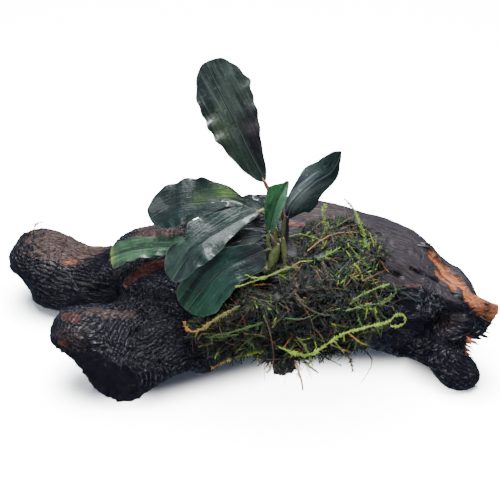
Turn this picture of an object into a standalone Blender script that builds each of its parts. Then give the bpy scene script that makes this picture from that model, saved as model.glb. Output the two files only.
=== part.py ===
"""Bucephalandra growing on driftwood with a cushion of moss, lying on three worn feet.

Sizes are millimetres: X runs along the wood, Y to the back and Z up from the surface it lies on.
"""

import math

import bmesh
import bpy
from mathutils import Vector, noise
from mathutils.bvhtree import BVHTree
from mathutils.geometry import interpolate_bezier

MM = 0.001
GAP = 0.35                      # clearance between pieces that touch
BOX_CENTRE = (-3.2, 2.0)        # middle of the whole object, moved to the origin

# Driftwood: each station is x, y, z of the middle, half depth and half height
SQUARENESS = 2.5                # exponent of a limb's outline, 2 is an ellipse
TRUNK = [
    (-55, 14, 26, 6, 6),
    (-51, 14, 26.5, 13, 11.5),
    (-44, 14, 27, 19.5, 15),
    (-34, 10, 28, 26, 18),
    (-18, 4, 29, 30, 22),
    (0, 0, 35.5, 33, 25),
    (19, 0, 35.3, 33, 23.5),
    (35, 0, 34.2, 31, 22),
    (50, 0, 31.1, 28, 19.8),
    (61, -2, 28, 24.2, 16.9),
    (70, -4, 25.2, 19.6, 14.6),
    (78, -5, 23.4, 15, 12),
    (84, -6, 21.3, 10.5, 6.2),
    (90, -6, 20.4, 6.5, 4),
    (95, -6, 20, 2.5, 1.5),
]
REAR_BRANCH = [
    (-38, 12, 27, 15, 15),
    (-50, 18, 20, 13.5, 13.5),
    (-60, 23.5, 15, 14, 12.5),
    (-70, 27, 13, 14.5, 12.8),
    (-80, 31, 13.9, 15.5, 14.2),
    (-88, 34, 19, 13.6, 14.2),
    (-93.5, 36, 22.6, 10, 10.8),
    (-97.3, 37, 25, 4.5, 5.2),
]
FRONT_BRANCH = [
    (-18, -6, 21, 20, 18),
    (-30, -11, 18, 20, 17.4),
    (-39, -18.3, 15.2, 19.4, 16.8),
    (-47.5, -22, 16, 17.5, 16.6),
    (-57, -22, 22, 13, 12.3),
    (-66, -22, 26.3, 10, 9),
    (-72, -22, 27.6, 6, 5.5),
    (-75, -22, 28, 2, 2),
]
FOOT = [
    (55, -6, 20, 16, 11),
    (64, -11, 15.5, 13.5, 10.5),
    (72, -17, 10, 11, 8.5),
    (79, -21, 5.8, 8.5, 7),
    (85, -22.5, 5, 6, 5),
    (88.5, -23, 5, 2.5, 2.5),
]
HOLLOWS = [                     # x, y, z, and the half sizes of what is worn away
    (77, -22, 27, 14, 8, 6),
    (58, -37, 27, 22, 9, 8),
    (20, 2, 3, 38, 40, 11),
]
CARVING_VOXEL = 1.8
WOOD_VOXEL = 3.0
WOOD_FACES = 2800
SWELL = 1.5                     # height of the slow waves along the grain
SWELL_RATE = (0.04, 0.09)       # how often they come, along the grain and across it
CREASE = 1.4                    # depth of the sharper creases
CREASE_RATE = (0.035, 0.2)
GRAIN_START = (1, -4, 0)        # where in the noise the wood's own grain begins

# Kerfs at the forks: a point, the way across the cut, and the half length and half width of the saw
FORK_CUTS = {
    "driftwood_trunk": ((-41, 0, 25), (0.915, 0.403, 0), 90, 60),
    "driftwood_rear_branch": ((-50, 3, 20), (0.2, 0.98, 0), 90, 60),
    "driftwood_foot": ((72, -14, 14), (0.2, 0, -0.98), 26, 40),
}

# Moss cushion: middles and half sizes of the places where it grows, and its thickness
MOSS_PLACES = [
    (17, -30, 39.5, 36, 20, 21.5),
    (31, -14, 53, 20, 20, 14),
    (-11, -36, 33, 20, 14, 11),
]
MOSS_THICK = 7.5
MOSS_RISE = 2.6                 # how steeply it rises from its edge
MOSS_LUMP = 2.2
MOSS_LUMP_RATE = 0.13
MOSS_BURIED = 1.5               # how deep its imagined edge dips into the wood
MOSS_FACES = 7000               # of the whole wood that the cushion is raised from
BARE_ROUND_STEM = 4.0           # wood left free of moss beside the creeping stem
MOSS_SLOPE_TO_STEM = 5.0

# Creeping stem: x, y and the height of its middle over the wood
RHIZOME = [
    (5.5, -27.5, 2.6),
    (7.0, -24.5, 2.6),
    (9.3, -19.5, 2.9),
    (11.3, -15.0, 3.3),
    (12.6, -12.0, 4.2),
]
RHIZOME_RADIUS = 1.9
PETIOLE_RADIUS = 0.75
STRAIGHT = 1.0                  # length of a petiole's straight foot and top
BLADE_THICK = 0.6

# Leaves: the midrib from base to tip; how far along, left half width and right half width, both seen
# from the side that the blade faces; the way that it faces; how far each half is folded up, in
# degrees; and how far along the stem and how far across it the stalk stands
LEAVES = {
    "leaf_tall": {
        "midrib": [(4.8, -13, 85), (-1.4, -10, 97.1), (-5.9, -6, 105.7), (-10.5, -2, 113.6),
                   (-15, 1.3, 122.8)],
        "widths": [(0, 0.8, 0.8), (0.14, 5, 3.9), (0.36, 8.2, 7.4), (0.55, 9.2, 9.6), (0.7, 8.5, 10.6),
                   (0.8, 7.7, 10.2), (0.9, 5, 8.2), (0.975, 2.2, 5), (1, 0.5, 1.5)],
        "facing": (0.1, -0.93, 0.35), "fold": 8, "stalk": (0.97, -0.3),
    },
    "leaf_back_left": {
        "midrib": [(2.5, -10, 71), (-7.1, -8, 74), (-17.9, -5, 71.3), (-24.9, -3, 69.2), (-30.8, -2, 67.2),
                   (-36.3, -3, 64.4)],
        "widths": [(0, 0.8, 0.8), (0.1, 1.4, 1.6), (0.24, 3.5, 5.4), (0.38, 5.9, 9), (0.51, 7.6, 9.9),
                   (0.66, 9, 8.8), (0.83, 8.2, 6.7), (0.95, 5, 4.2), (1, 1.5, 1)],
        "facing": (0, -0.6, 0.8), "fold": 6, "stalk": (0.78, 0.9),
    },
    "leaf_front_left": {
        "midrib": [(2.8, -17, 74.8), (-6.5, -22, 73.1), (-16.1, -27, 69.1), (-21.2, -30, 64.9),
                   (-26.4, -34, 57.6)],
        "widths": [(0, 0.8, 0.8), (0.11, 2.2, 3.6), (0.3, 4.4, 5.6), (0.4, 6.2, 7), (0.52, 6.9, 8.2),
                   (0.62, 6.7, 8.6), (0.72, 6.2, 7), (0.84, 4.8, 5.8), (0.93, 2.8, 4.6), (1, 0.5, 0.5)],
        "facing": (-0.1, -0.65, 0.75), "fold": 10, "stalk": (0.62, 0.3),
    },
    "leaf_far_left": {
        "midrib": [(-15.9, -14, 60.5), (-25.4, -11, 56.7), (-34.8, -7, 53), (-45.5, -4, 49.2),
                   (-52, -2, 45.1)],
        "widths": [(0, 0.7, 0.7), (0.1, 1.9, 1.9), (0.35, 3.7, 3.7), (0.6, 4.3, 4.2), (0.8, 5.6, 4.4),
                   (0.93, 5.6, 3.6), (1, 1.5, 0.6)],
        "facing": (0, -0.55, 0.83), "fold": 12, "stalk": (0.2, 2.6),
    },
    "leaf_low": {
        "midrib": [(5, -27.5, 65.5), (-1.7, -28.7, 62.8), (-9.7, -30.5, 59.4), (-17.3, -32, 50.4),
                   (-21.9, -33, 43.8)],
        "widths": [(0, 0.8, 0.8), (0.1, 1.4, 1.6), (0.2, 3.8, 3.6), (0.35, 6, 6), (0.55, 8, 7.5),
                   (0.75, 8.3, 7.8), (0.9, 6, 6.2), (0.97, 3.3, 3.6), (1, 0.6, 0.6)],
        "facing": (-0.1, -0.85, 0.5), "fold": 6, "stalk": (0.03, -1.2),
    },
    "leaf_young": {
        "midrib": [(6.6, -23, 70.1), (8.9, -21, 80.3), (12.9, -18, 88)],
        "widths": [(0, 0.6, 0.6), (0.3, 3.6, 2), (0.5, 4.1, 2.7), (0.75, 3, 2.2), (1, 0.4, 0.4)],
        "facing": (0.1, -0.93, 0.35), "fold": 25, "stalk": (0.3, -0.4),
    },
    "leaf_right": {
        "midrib": [(14, -16, 72.9), (16.9, -15, 80.9), (21.4, -13, 85), (26.8, -12, 89.6), (30.7, -11, 95.3)],
        "widths": [(0, 0.7, 0.7), (0.12, 2, 2), (0.3, 4.2, 5.5), (0.5, 7, 6.5), (0.7, 7.2, 3.8), (0.85, 5, 2),
                   (1, 0.4, 0.4)],
        "facing": (0.1, -0.9, 0.4), "fold": 24, "stalk": (0.5, -1.1),
    },
    "leaf_shaded": {
        "midrib": [(4.5, -20, 66.5), (0, -21, 67), (-5.3, -21.5, 65.5), (-10, -21.5, 62)],
        "widths": [(0, 0.6, 0.6), (0.3, 2.8, 2.8), (0.6, 3.6, 3.6), (0.85, 2.5, 2.5), (1, 0.4, 0.4)],
        "facing": (-0.1, -0.5, 0.85), "fold": 10, "stalk": (0.36, 1.0),
    },
    "leaf_rear": {
        "midrib": [(7.5, -6.5, 67), (3, -1, 67.5), (-1, 3, 66.8), (-4, 6, 64.6)],
        "widths": [(0, 0.6, 0.6), (0.3, 2.2, 2.2), (0.6, 2.7, 2.7), (0.85, 1.8, 1.8), (1, 0.4, 0.4)],
        "facing": (-0.2, -0.4, 0.9), "fold": 8, "stalk": (0.88, 1.1),
    },
}
BLADE_ROWS = 10
BLADE_COLUMNS = 4

# Loose strands: the way that each runs from where it leaves the cushion
STRAND_RADIUS = 0.9
STRANDS = {
    "moss_strand_right": [(28, -42, 38), (33, -43, 43), (41, -42, 44.7), (47.7, -40, 44.4), (53, -38, 43.7),
                          (54, -37, 46), (51, -37, 48.6)],
    "moss_strand_side": [(45, -35, 49), (48, -36, 52), (50.2, -36, 54.4), (49, -35, 57.5)],
    "moss_strand_top": [(36, -12, 63), (38.7, -12, 67.3), (36.6, -9, 71.3), (33.3, -8, 74.5)],
    "moss_strand_crest": [(28.2, -16, 66), (25.6, -14, 71.6), (26.3, -13, 75.1)],
    "moss_strand_middle": [(17, -31, 61), (13, -33, 62.4), (4.1, -36, 60.4), (-1.7, -35, 61)],
    "moss_strand_left": [(-3.4, -38, 50), (-12.2, -39, 44.6), (-20.3, -38, 40.6), (-22.4, -37, 42.5)],
    "moss_strand_low": [(-2.2, -33, 25.8), (-7.9, -35, 23.3), (-13.8, -36, 19.9)],
    "moss_strand_hanging": [(16.2, -42, 40), (19.7, -41, 34.1), (22.4, -39, 24.5)],
    "moss_strand_under": [(33.4, -34, 29), (36.3, -33, 22), (38, -31, 14)],
    "moss_strand_long": [(40.4, -33, 26.8), (44.5, -32, 20.2), (43.6, -31, 13.5), (41.6, -29, 6.3)],
    "moss_sprig_branch": [(-88.5, 35, 33), (-87.2, 34, 36.5), (-84, 33, 38)],
}
ROOT_RADIUS = 0.7
ROOTS = {
    "root_long": [(14.6, -30, 25), (17, -30, 16.1), (19, -28, 8), (20.1, -27, 1.2)],
    "root_middle": [(20.6, -27, 15), (22.5, -27, 12.5), (25.5, -27, 9.5)],
    "root_short": [(9, -28, 20), (8, -28, 14.5), (6.5, -27, 9.5)],
}
ROOT_TAPER = 0.35               # share of its radius that a strand or root loses to its tip
KNOB = (13, -22, 14, 4.6, 4, 5.2)       # old stem end under the wood: middle and half sizes
KNOB_LUMP = 1.2
KNOB_LUMP_RATE = 0.35
KNOB_FACES = 150


def at(x, y, z):
    """A place of the design, as Blender's metres in the part's own frame."""
    return Vector((x - BOX_CENTRE[0], y - BOX_CENTRE[1], z)) * MM


def design(point):
    """The design's millimetres of a point in the part's own frame, the reverse of at."""
    return point / MM + Vector((*BOX_CENTRE, 0))


def clear_scene():
    for obj in list(bpy.data.objects):
        bpy.data.objects.remove(obj)


def material(name, colour, roughness):
    made = bpy.data.materials.new(name)
    made.use_nodes = True
    shader = made.node_tree.nodes["Principled BSDF"]
    shader.inputs["Base Color"].default_value = (*colour, 1.0)
    shader.inputs["Roughness"].default_value = roughness
    made.diffuse_color = (*colour, 1.0)
    return made


def spline(rows, steps):
    """The rows, run through smoothly with some steps between each two."""
    made = []
    for i in range(len(rows) - 1):
        before, after = rows[max(i - 1, 0)], rows[min(i + 2, len(rows) - 1)]
        for step in range(steps):
            t = step / steps
            made.append([
                0.5 * (2 * b + (c - a) * t + (2 * a - 5 * b + 4 * c - d) * t * t
                       + (3 * b - a - 3 * c + d) * t ** 3)
                for a, b, c, d in zip(before, rows[i], rows[i + 1], after)
            ])
    return made + [list(rows[-1])]


def looked_up(rows, t):
    """The values beside t in rows that start with their own t."""
    for low, high in zip(rows, rows[1:]):
        if t <= high[0]:
            share = (t - low[0]) / max(high[0] - low[0], 1e-9)
            return [a + (b - a) * share for a, b in zip(low[1:], high[1:])]
    return list(rows[-1][1:])


def new_object(name, bm):
    mesh = bpy.data.meshes.new(name)
    bm.to_mesh(mesh)
    bm.free()
    obj = bpy.data.objects.new(name, mesh)
    bpy.context.scene.collection.objects.link(obj)
    return obj


def bridge(bm, rings):
    """Closes a row of point rings into one tube with filled ends."""
    around = len(rings[0])
    for near, far in zip(rings, rings[1:]):
        for i in range(around):
            j = (i + 1) % around
            bm.faces.new((near[i], near[j], far[j], far[i]))
    bm.faces.new(reversed(rings[0]))
    bm.faces.new(rings[-1])
    bmesh.ops.recalc_face_normals(bm, faces=bm.faces)


def limb(name, stations, around=28, steps=4):
    """A tapering length of wood, square shouldered, through its stations."""
    bm = bmesh.new()
    rows = spline(stations, steps)
    rings = []
    for i, (x, y, z, depth, height) in enumerate(rows):
        ahead, behind = rows[min(i + 1, len(rows) - 1)], rows[max(i - 1, 0)]
        along = Vector([a - b for a, b in zip(ahead[:3], behind[:3])]).normalized()
        side = Vector((0, 0, 1)).cross(along).normalized()
        up = along.cross(side)
        ring = []
        for k in range(around):
            turn = math.tau * k / around
            c, s = math.cos(turn), math.sin(turn)
            swell = (abs(c) ** SQUARENESS + abs(s) ** SQUARENESS) ** (-1 / SQUARENESS)
            offset = side * (max(depth, 0.5) * swell * c) + up * (max(height, 0.5) * swell * s)
            ring.append(bm.verts.new(at(x, y, z) + offset * MM))
        rings.append(ring)
    bridge(bm, rings)
    return new_object(name, bm)


def ellipsoid(name, x, y, z, depth, width, height):
    bm = bmesh.new()
    bmesh.ops.create_icosphere(bm, subdivisions=3, radius=1)
    for v in bm.verts:
        v.co = at(x, y, z) + Vector((v.co.x * depth, v.co.y * width, v.co.z * height)) * MM
    return new_object(name, bm)


def baked(obj):
    """The object with its modifiers applied."""
    graph = bpy.context.evaluated_depsgraph_get()
    mesh = bpy.data.meshes.new_from_object(obj.evaluated_get(graph))
    obj.modifiers.clear()
    obj.data = mesh
    return obj


def twin(name, obj):
    made = bpy.data.objects.new(name, obj.data.copy())
    bpy.context.scene.collection.objects.link(made)
    return made


def join(name, objects):
    """One object that holds the meshes of all of them."""
    bm = bmesh.new()
    for obj in objects:
        bm.from_mesh(obj.data)
        bpy.data.objects.remove(obj)
    return new_object(name, bm)


def remesh(obj, voxel):
    change = obj.modifiers.new("remesh", "REMESH")
    change.mode = "VOXEL"
    change.voxel_size = voxel * MM
    return baked(obj)


def cut_away(obj, cutter):
    change = obj.modifiers.new("cut", "BOOLEAN")
    change.operation = "DIFFERENCE"
    change.object = cutter
    baked(obj)
    bpy.data.objects.remove(cutter)
    return obj


def thin_out(obj, faces):
    """Fewer triangles, with the form kept."""
    obj.data.calc_loop_triangles()
    change = obj.modifiers.new("thin", "DECIMATE")
    change.ratio = faces / len(obj.data.loop_triangles)
    return baked(obj)


def push(obj, distance):
    """Moves every point along its normal, by a length or by a function of its place."""
    normals = [v.normal.copy() for v in obj.data.vertices]
    for v, normal in zip(obj.data.vertices, normals):
        length = distance(design(v.co)) if callable(distance) else distance
        v.co += normal * length * MM
    return obj


def islands(obj):
    """The loose bodies of a mesh, each as its own object, largest first."""
    bm = bmesh.new()
    bm.from_mesh(obj.data)
    left = set(bm.faces)
    groups = []
    while left:
        queue = [left.pop()]
        group = set(queue)
        while queue:
            for edge in queue.pop().edges:
                fresh = [face for face in edge.link_faces if face in left]
                left.difference_update(fresh)
                group.update(fresh)
                queue.extend(fresh)
        groups.append({face.index for face in group})
    bm.free()
    made = []
    for keep in sorted(groups, key=len, reverse=True):
        bm = bmesh.new()
        bm.from_mesh(obj.data)
        bmesh.ops.delete(bm, geom=[face for face in bm.faces if face.index not in keep], context="FACES")
        made.append(new_object(obj.name, bm))
    bpy.data.objects.remove(obj)
    return made


def weathering(p):
    """Long swells and ridges that run with the grain."""
    x, y, z = p + Vector(GRAIN_START)
    along, across = SWELL_RATE
    swell = noise.noise(Vector((x * along, y * across, z * across)))
    along, across = CREASE_RATE
    crease = noise.noise(Vector((x * along + 9, y * across, z * across)))
    return SWELL * swell - CREASE * abs(crease)


def block(name, low, high):
    bm = bmesh.new()
    bmesh.ops.create_cube(bm, size=1)
    middle = [(a + b) / 2 for a, b in zip(low, high)]
    for v in bm.verts:
        v.co = at(*middle) + Vector([c * (b - a) for c, a, b in zip(v.co, low, high)]) * MM
    return new_object(name, bm)


def whole_wood():
    """The driftwood in one piece, finely meshed, before it is worn flat or parted at its forks."""
    limbs = [limb("trunk", TRUNK), limb("rear", REAR_BRANCH), limb("front", FRONT_BRANCH), limb("foot", FOOT)]
    wood = remesh(join("wood", limbs), CARVING_VOXEL)
    for hollow in HOLLOWS:
        cut_away(wood, ellipsoid("hollow", *hollow))
    remesh(wood, WOOD_VOXEL)
    return push(wood, weathering)


def saw(name, point, across, length, width):
    """A thin plate that leaves a kerf through a fork."""
    bm = bmesh.new()
    bmesh.ops.create_cube(bm, size=1)
    turn = Vector((0, 0, 1)).rotation_difference(Vector(across).normalized())
    for v in bm.verts:
        flat = Vector((v.co.x * 2 * length, v.co.y * 2 * width, v.co.z * GAP))
        v.co = at(*point) + turn @ flat * MM
    return new_object(name, bm)


def part_at(wood, cut):
    """Two pieces, largest first, sawn apart at a fork."""
    pieces = islands(cut_away(wood, saw("saw", *cut)))
    for crumb in pieces[2:]:
        bpy.data.objects.remove(crumb)
    return pieces[:2]


def driftwood(fine):
    """The four pieces of the wood, and a copy of the whole of it."""
    wood = thin_out(fine, WOOD_FACES)
    cut_away(wood, block("ground", (-150, -100, -40), (150, 100, 0)))
    whole = twin("whole", wood)
    left, right = sorted(part_at(wood, FORK_CUTS["driftwood_trunk"]), key=lambda obj: middle_of(obj).x)
    rear, front = sorted(part_at(left, FORK_CUTS["driftwood_rear_branch"]), key=lambda obj: -middle_of(obj).y)
    foot, trunk = sorted(part_at(right, FORK_CUTS["driftwood_foot"]), key=lambda obj: middle_of(obj).z)
    names = ("driftwood_trunk", "driftwood_rear_branch", "driftwood_front_branch", "driftwood_foot")
    for name, piece in zip(names, (trunk, rear, front, foot)):
        piece.name = name
    return [trunk, rear, front, foot], whole


def middle_of(obj):
    return sum((v.co for v in obj.data.vertices), Vector()) / len(obj.data.vertices)


def surface(objects):
    """A search tree over the faces of some solids."""
    bm = bmesh.new()
    for obj in objects:
        bm.from_mesh(obj.data)
    tree = BVHTree.FromBMesh(bm)
    bm.free()
    return tree


def over(tree, x, y, height):
    """The place some height over the wood, straight above a point of the plan."""
    hit = tree.ray_cast(at(x, y, 200), Vector((0, 0, -1)))
    return hit[0] + Vector((0, 0, height * MM))


def moss_cushion(fine, whole, stem):
    """A lumpy crust that thins out to its edge and leaves room for the stem, and its filled mound."""
    def thickness(p):
        cover = max(1 - math.hypot((p.x - x) / a, (p.y - y) / b, (p.z - z) / c)
                    for x, y, z, a, b, c in MOSS_PLACES)
        lumps = MOSS_LUMP * noise.noise((p + Vector(GRAIN_START)) * MOSS_LUMP_RATE)
        near_stem = min((p - design(place)).length for place in stem)
        room = min(1.0, max(0.0, (near_stem - BARE_ROUND_STEM) / MOSS_SLOPE_TO_STEM))
        swelling = min(1.0, max(0.0, cover * MOSS_RISE)) * room
        return -MOSS_BURIED + (MOSS_THICK + MOSS_BURIED + lumps) * swelling ** 0.7

    thin_out(push(fine, thickness), MOSS_FACES)
    mound = surface([fine])
    cut_away(fine, push(whole, GAP + 0.1))
    cushion, *crumbs = islands(fine)
    for crumb in crumbs:
        bpy.data.objects.remove(crumb)
    cushion.name = "moss_cushion"
    return cushion, mound


def strand(name, points, radii, sides=1):
    """A smooth tube through some places, tapering as its radii say."""
    curve = bpy.data.curves.new(name, "CURVE")
    curve.dimensions = "3D"
    curve.bevel_depth = MM
    curve.bevel_resolution = sides
    curve.use_fill_caps = True
    line = curve.splines.new("POLY")
    line.points.add(len(points) - 1)
    for i, (point, place) in enumerate(zip(line.points, points)):
        point.co = (*place, 1.0)
        point.radius = radii(i / (len(points) - 1))
    obj = bpy.data.objects.new(name, curve)
    bpy.context.scene.collection.objects.link(obj)
    return obj


def clear_of(bodies, place, least):
    """The place, moved out of closed bodies where it is nearer to them than the least distance."""
    for tree in bodies * 3:
        near, normal, _, _ = tree.find_nearest(place)
        if (place - near).dot(normal) < least:
            place = near + normal * least
    return place


def against(bodies, place, least):
    """The nearest place that is just the least distance off the closed bodies."""
    hits = [tree.find_nearest(place) for tree in bodies]
    near, normal, _, _ = min(hits, key=lambda hit: (place - hit[0]).dot(hit[1]))
    return clear_of(bodies, near + normal * least, least)


def loose_strand(name, route, radius, bodies):
    """A strand that starts where its route leaves the solids, and stays clear of them from there."""
    least = (radius + GAP + 0.25) * MM
    path = [at(*row) for row in spline(route, 6)]
    outside = [i for i, place in enumerate(path) if clear_of(bodies, place, least) == place]
    first = max(outside[0] - 1, 0)
    places = [against(bodies, path[first], least)]
    places += [clear_of(bodies, place, least) for place in path[first + 2::3]]
    if (len(path) - 1 - first) % 3 != 2:
        places.append(clear_of(bodies, path[-1], least))
    return strand(name, places, lambda t: radius * (1 - ROOT_TAPER * t))


def blade(name, leaf):
    """A leaf's blade: rows of points across the midrib, given their thickness by a modifier."""
    bm = bmesh.new()
    midrib = [Vector(row) for row in spline(leaf["midrib"], 8)]
    facing = Vector(leaf["facing"]).normalized()
    fold = math.radians(leaf["fold"])
    rows = []
    for i in range(BLADE_ROWS + 1):
        t = i / BLADE_ROWS
        spot = t * (len(midrib) - 1)
        low = min(int(spot), len(midrib) - 2)
        along = (midrib[low + 1] - midrib[low]).normalized()
        middle = midrib[low].lerp(midrib[low + 1], spot - low)
        side = along.cross(facing).normalized()
        out = side.cross(along)
        left, right = looked_up(leaf["widths"], t)
        row = []
        for j in range(BLADE_COLUMNS + 1):
            share = 2 * j / BLADE_COLUMNS - 1
            width = right * share if share > 0 else left * share
            place = middle + side * width * math.cos(fold) + out * abs(width) * math.sin(fold)
            row.append(bm.verts.new(at(*place)))
        rows.append(row)
    for near, far in zip(rows, rows[1:]):
        for j in range(BLADE_COLUMNS):
            bm.faces.new((near[j], near[j + 1], far[j + 1], far[j]))
    obj = new_object(name, bm)
    change = obj.modifiers.new("thickness", "SOLIDIFY")
    change.thickness = BLADE_THICK * MM
    change.offset = 0
    return obj


def petiole(name, leaf, stem):
    """A stalk from its place on the creeping stem to the foot of its blade."""
    along, across = leaf["stalk"]
    spot = along * (len(stem) - 1)
    low = min(int(spot), len(stem) - 2)
    heading = (stem[low + 1] - stem[low]).normalized()
    sideways = Vector((0, 0, 1)).cross(heading).normalized()
    lean = Vector((0, 0, 1)) + sideways * across
    out = (lean - heading * lean.dot(heading)).normalized()
    foot = stem[low].lerp(stem[low + 1], spot - low) + out * (RHIZOME_RADIUS + GAP) * MM
    first, second = (Vector(row) for row in leaf["midrib"][:2])
    run = (second - first).normalized()
    top = at(*(first - run * GAP))
    start, end = foot + out * STRAIGHT * MM, top - run * STRAIGHT * MM
    reach = (end - start).length
    places = interpolate_bezier(start, start + out * reach * 0.3, end - run * reach * 0.35, end, 7)
    return strand(name, [foot, *places, top], lambda t: PETIOLE_RADIUS)


def knob(bodies):
    """The dark end of an old stem, hanging close under the wood."""
    obj = ellipsoid("root_knob", *KNOB)
    push(obj, lambda p: KNOB_LUMP * noise.noise(p * KNOB_LUMP_RATE))
    thin_out(obj, KNOB_FACES)
    below = Vector((0, 0, -100 * MM))
    rays = [tree.ray_cast(v.co + below, Vector((0, 0, 1))) for tree in bodies for v in obj.data.vertices]
    lift = min(hit[3] for hit in rays if hit[0]) - GAP * MM
    for v in obj.data.vertices:
        v.co += below + Vector((0, 0, lift))
    return obj


def coloured(objects, colour):
    for obj in objects:
        obj.data.materials.append(colour)


def main():
    clear_scene()
    fine = whole_wood()
    wood, whole = driftwood(twin("wood", fine))
    on_wood = surface(wood)
    stem = [over(on_wood, *row) for row in spline(RHIZOME, 3)]
    bodies = [surface([whole])]
    cushion, mound = moss_cushion(fine, whole, stem)
    bodies.append(mound)
    rhizome = strand("rhizome", stem, lambda t: RHIZOME_RADIUS, sides=2)
    blades = [blade(name, leaf) for name, leaf in LEAVES.items()]
    stalks = [petiole(name.replace("leaf", "petiole"), leaf, stem) for name, leaf in LEAVES.items()]
    strands = [loose_strand(name, route, STRAND_RADIUS, bodies) for name, route in STRANDS.items()]
    roots = [loose_strand(name, route, ROOT_RADIUS, bodies) for name, route in ROOTS.items()]
    roots.append(knob(bodies))
    coloured(wood, material("dark_wood", (0.05, 0.035, 0.03), 0.5))
    coloured([cushion] + strands, material("moss", (0.10, 0.16, 0.02), 0.7))
    coloured(blades, material("leaf", (0.02, 0.06, 0.03), 0.25))
    coloured(stalks + [rhizome], material("stem", (0.10, 0.07, 0.03), 0.4))
    coloured(roots, material("root", (0.20, 0.13, 0.06), 0.6))


main()
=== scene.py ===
"""The finish of a bucephalandra on driftwood: wet wood, leaves, stems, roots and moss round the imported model.

Places are in millimetres of the design, with X along the wood, Y to the back and Z up; MM makes them metres.
"""

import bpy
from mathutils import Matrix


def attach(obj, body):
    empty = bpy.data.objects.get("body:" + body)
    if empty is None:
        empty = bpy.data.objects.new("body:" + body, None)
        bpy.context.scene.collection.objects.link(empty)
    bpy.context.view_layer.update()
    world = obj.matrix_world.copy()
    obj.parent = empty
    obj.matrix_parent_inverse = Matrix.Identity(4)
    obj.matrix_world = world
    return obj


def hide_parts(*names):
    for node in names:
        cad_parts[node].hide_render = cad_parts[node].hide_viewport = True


bl_info = {
    "name": "Bucephalandra on Driftwood",
    "version": (1, 0, 0),
    "blender": (4, 5, 0),
    "location": "3D View > Sidebar > Driftwood",
    "description": "Wet driftwood with a broad-leaved water plant and a cushion of moss",
    "category": "Object",
}

import math
from itertools import product

import bpy
import numpy as np
from mathutils import Vector
from mathutils.bvhtree import BVHTree
from mathutils.geometry import interpolate_bezier

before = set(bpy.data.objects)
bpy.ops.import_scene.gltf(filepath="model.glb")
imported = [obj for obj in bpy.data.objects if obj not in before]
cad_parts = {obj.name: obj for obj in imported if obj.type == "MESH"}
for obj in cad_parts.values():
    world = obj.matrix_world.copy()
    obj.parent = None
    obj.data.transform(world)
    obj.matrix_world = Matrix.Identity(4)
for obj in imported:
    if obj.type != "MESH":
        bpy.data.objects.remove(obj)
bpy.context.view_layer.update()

MM = 0.001
BOX_CENTRE = (-3.2, 2.0)        # middle of the whole object in the design, which is the frame's origin
BODY = "root"
SPLINTER_SEED, MOSS_SEED, ROOT_SEED = 5, 11, 23
ABOVE = 200                     # a height over the whole object
WOOD_NODES = ("driftwood_trunk", "driftwood_rear_branch", "driftwood_front_branch", "driftwood_foot")

# Limbs, for the way that the grain runs: x, y, z of the middle, half depth and half height
LIMBS = {
    "trunk": [
        (-55, 14, 26, 6, 6), (-44, 14, 27, 19.5, 15), (-18, 4, 29, 30, 22), (0, 0, 35.5, 33, 25),
        (35, 0, 34.2, 31, 22), (61, -2, 28, 24.2, 16.9), (78, -5, 23.4, 15, 12), (95, -6, 20, 2.5, 2),
    ],
    "rear": [
        (-38, 12, 27, 15, 15), (-60, 23.5, 15, 14, 12.5), (-80, 31, 14, 15.5, 14.2), (-92, 29, 24, 7, 7),
    ],
    "front": [
        (-18, -6, 21, 20, 18), (-39, -18.3, 15.2, 19.4, 16.8), (-57, -22, 22, 13, 12.3), (-75, -22, 28, 3, 3),
    ],
    "foot": [
        (55, -6, 20, 16, 11), (72, -17, 10, 11, 8.5), (88.5, -23, 5, 3, 3),
    ],
}
LIMB_START = {"trunk": -55, "rear": -38, "front": -18, "foot": 55}
LIMB_WAY = {"trunk": 1, "rear": -1, "front": -1, "foot": 1}

# Bare inner wood: its route over the wood, half width, redness, depth of the lost bark and strength
BARE = [
    ([(69.5, 2.6, 41.2), (72.6, 1.5, 38.8), (76.2, -1.2, 36.4), (79, -6, 35.2), (81.3, -10, 33.6)], 3.9, 0.1, 1.5, 1),
    ([(69.3, -7.1, 40.4), (72.4, -8.2, 38), (75.5, -10.5, 36.6)], 1.8, 0.3, 0.7, 1),
    ([(83, -10.5, 31), (87, -9.5, 27.6), (94, -8, 24)], 4.2, 0.35, 0.1, 0.9),
    ([(-45.6, -7.1, 38.1), (-41, -6.7, 41), (-36.4, -6.4, 43.6), (-31.1, -6.9, 45.3)], 2.8, 1.0, 0.2, 0.8),
    ([(-74.5, 22, 25), (-71, 22, 26)], 1.5, 0.4, 0.3, 0.55),
    ([(15, -1.5, 59.2), (19, -1.8, 58.8)], 1.4, 0.8, 0.2, 0.6),
    ([(43.8, 22.5, 48.2), (47.7, 21.8, 47.3)], 1.4, 0.5, 0.3, 0.7),
    ([(52.5, -20.5, 45.4), (57, -18.4, 43.4), (62.5, -15.6, 41.6)], 0.45, 0.95, 0.1, 0.45),
    ([(82, -16, 17.5), (82.5, -16, 14), (82, -17, 10)], 2.6, 0.9, 0.1, 1),
    ([(-66.9, -23.5, 33.9), (-63, -24.6, 33.7)], 2.2, 1.0, 0.1, 0.6),
    ([(-68.5, -29.8, 27.4), (-66.6, -31.1, 27.1)], 1.1, 1.0, 0.1, 0.6),
]
# Brown patches, paler than the black wood: middle, half sizes and strength
BROWN = [
    ((-38, 16, 44), (14, 9, 6), 0.8),
    ((-52, -21, 33), (9, 3.5, 4), 0.7),
    ((-63, -28, 28), (7, 5, 5), 0.3),
    ((-70, 32, 27), (20, 11, 8), 1.0),
    ((30, 8, 57), (16, 12, 6), 0.3),
    ((74, -16, 26), (7, 4, 5), 0.25),
]
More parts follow.
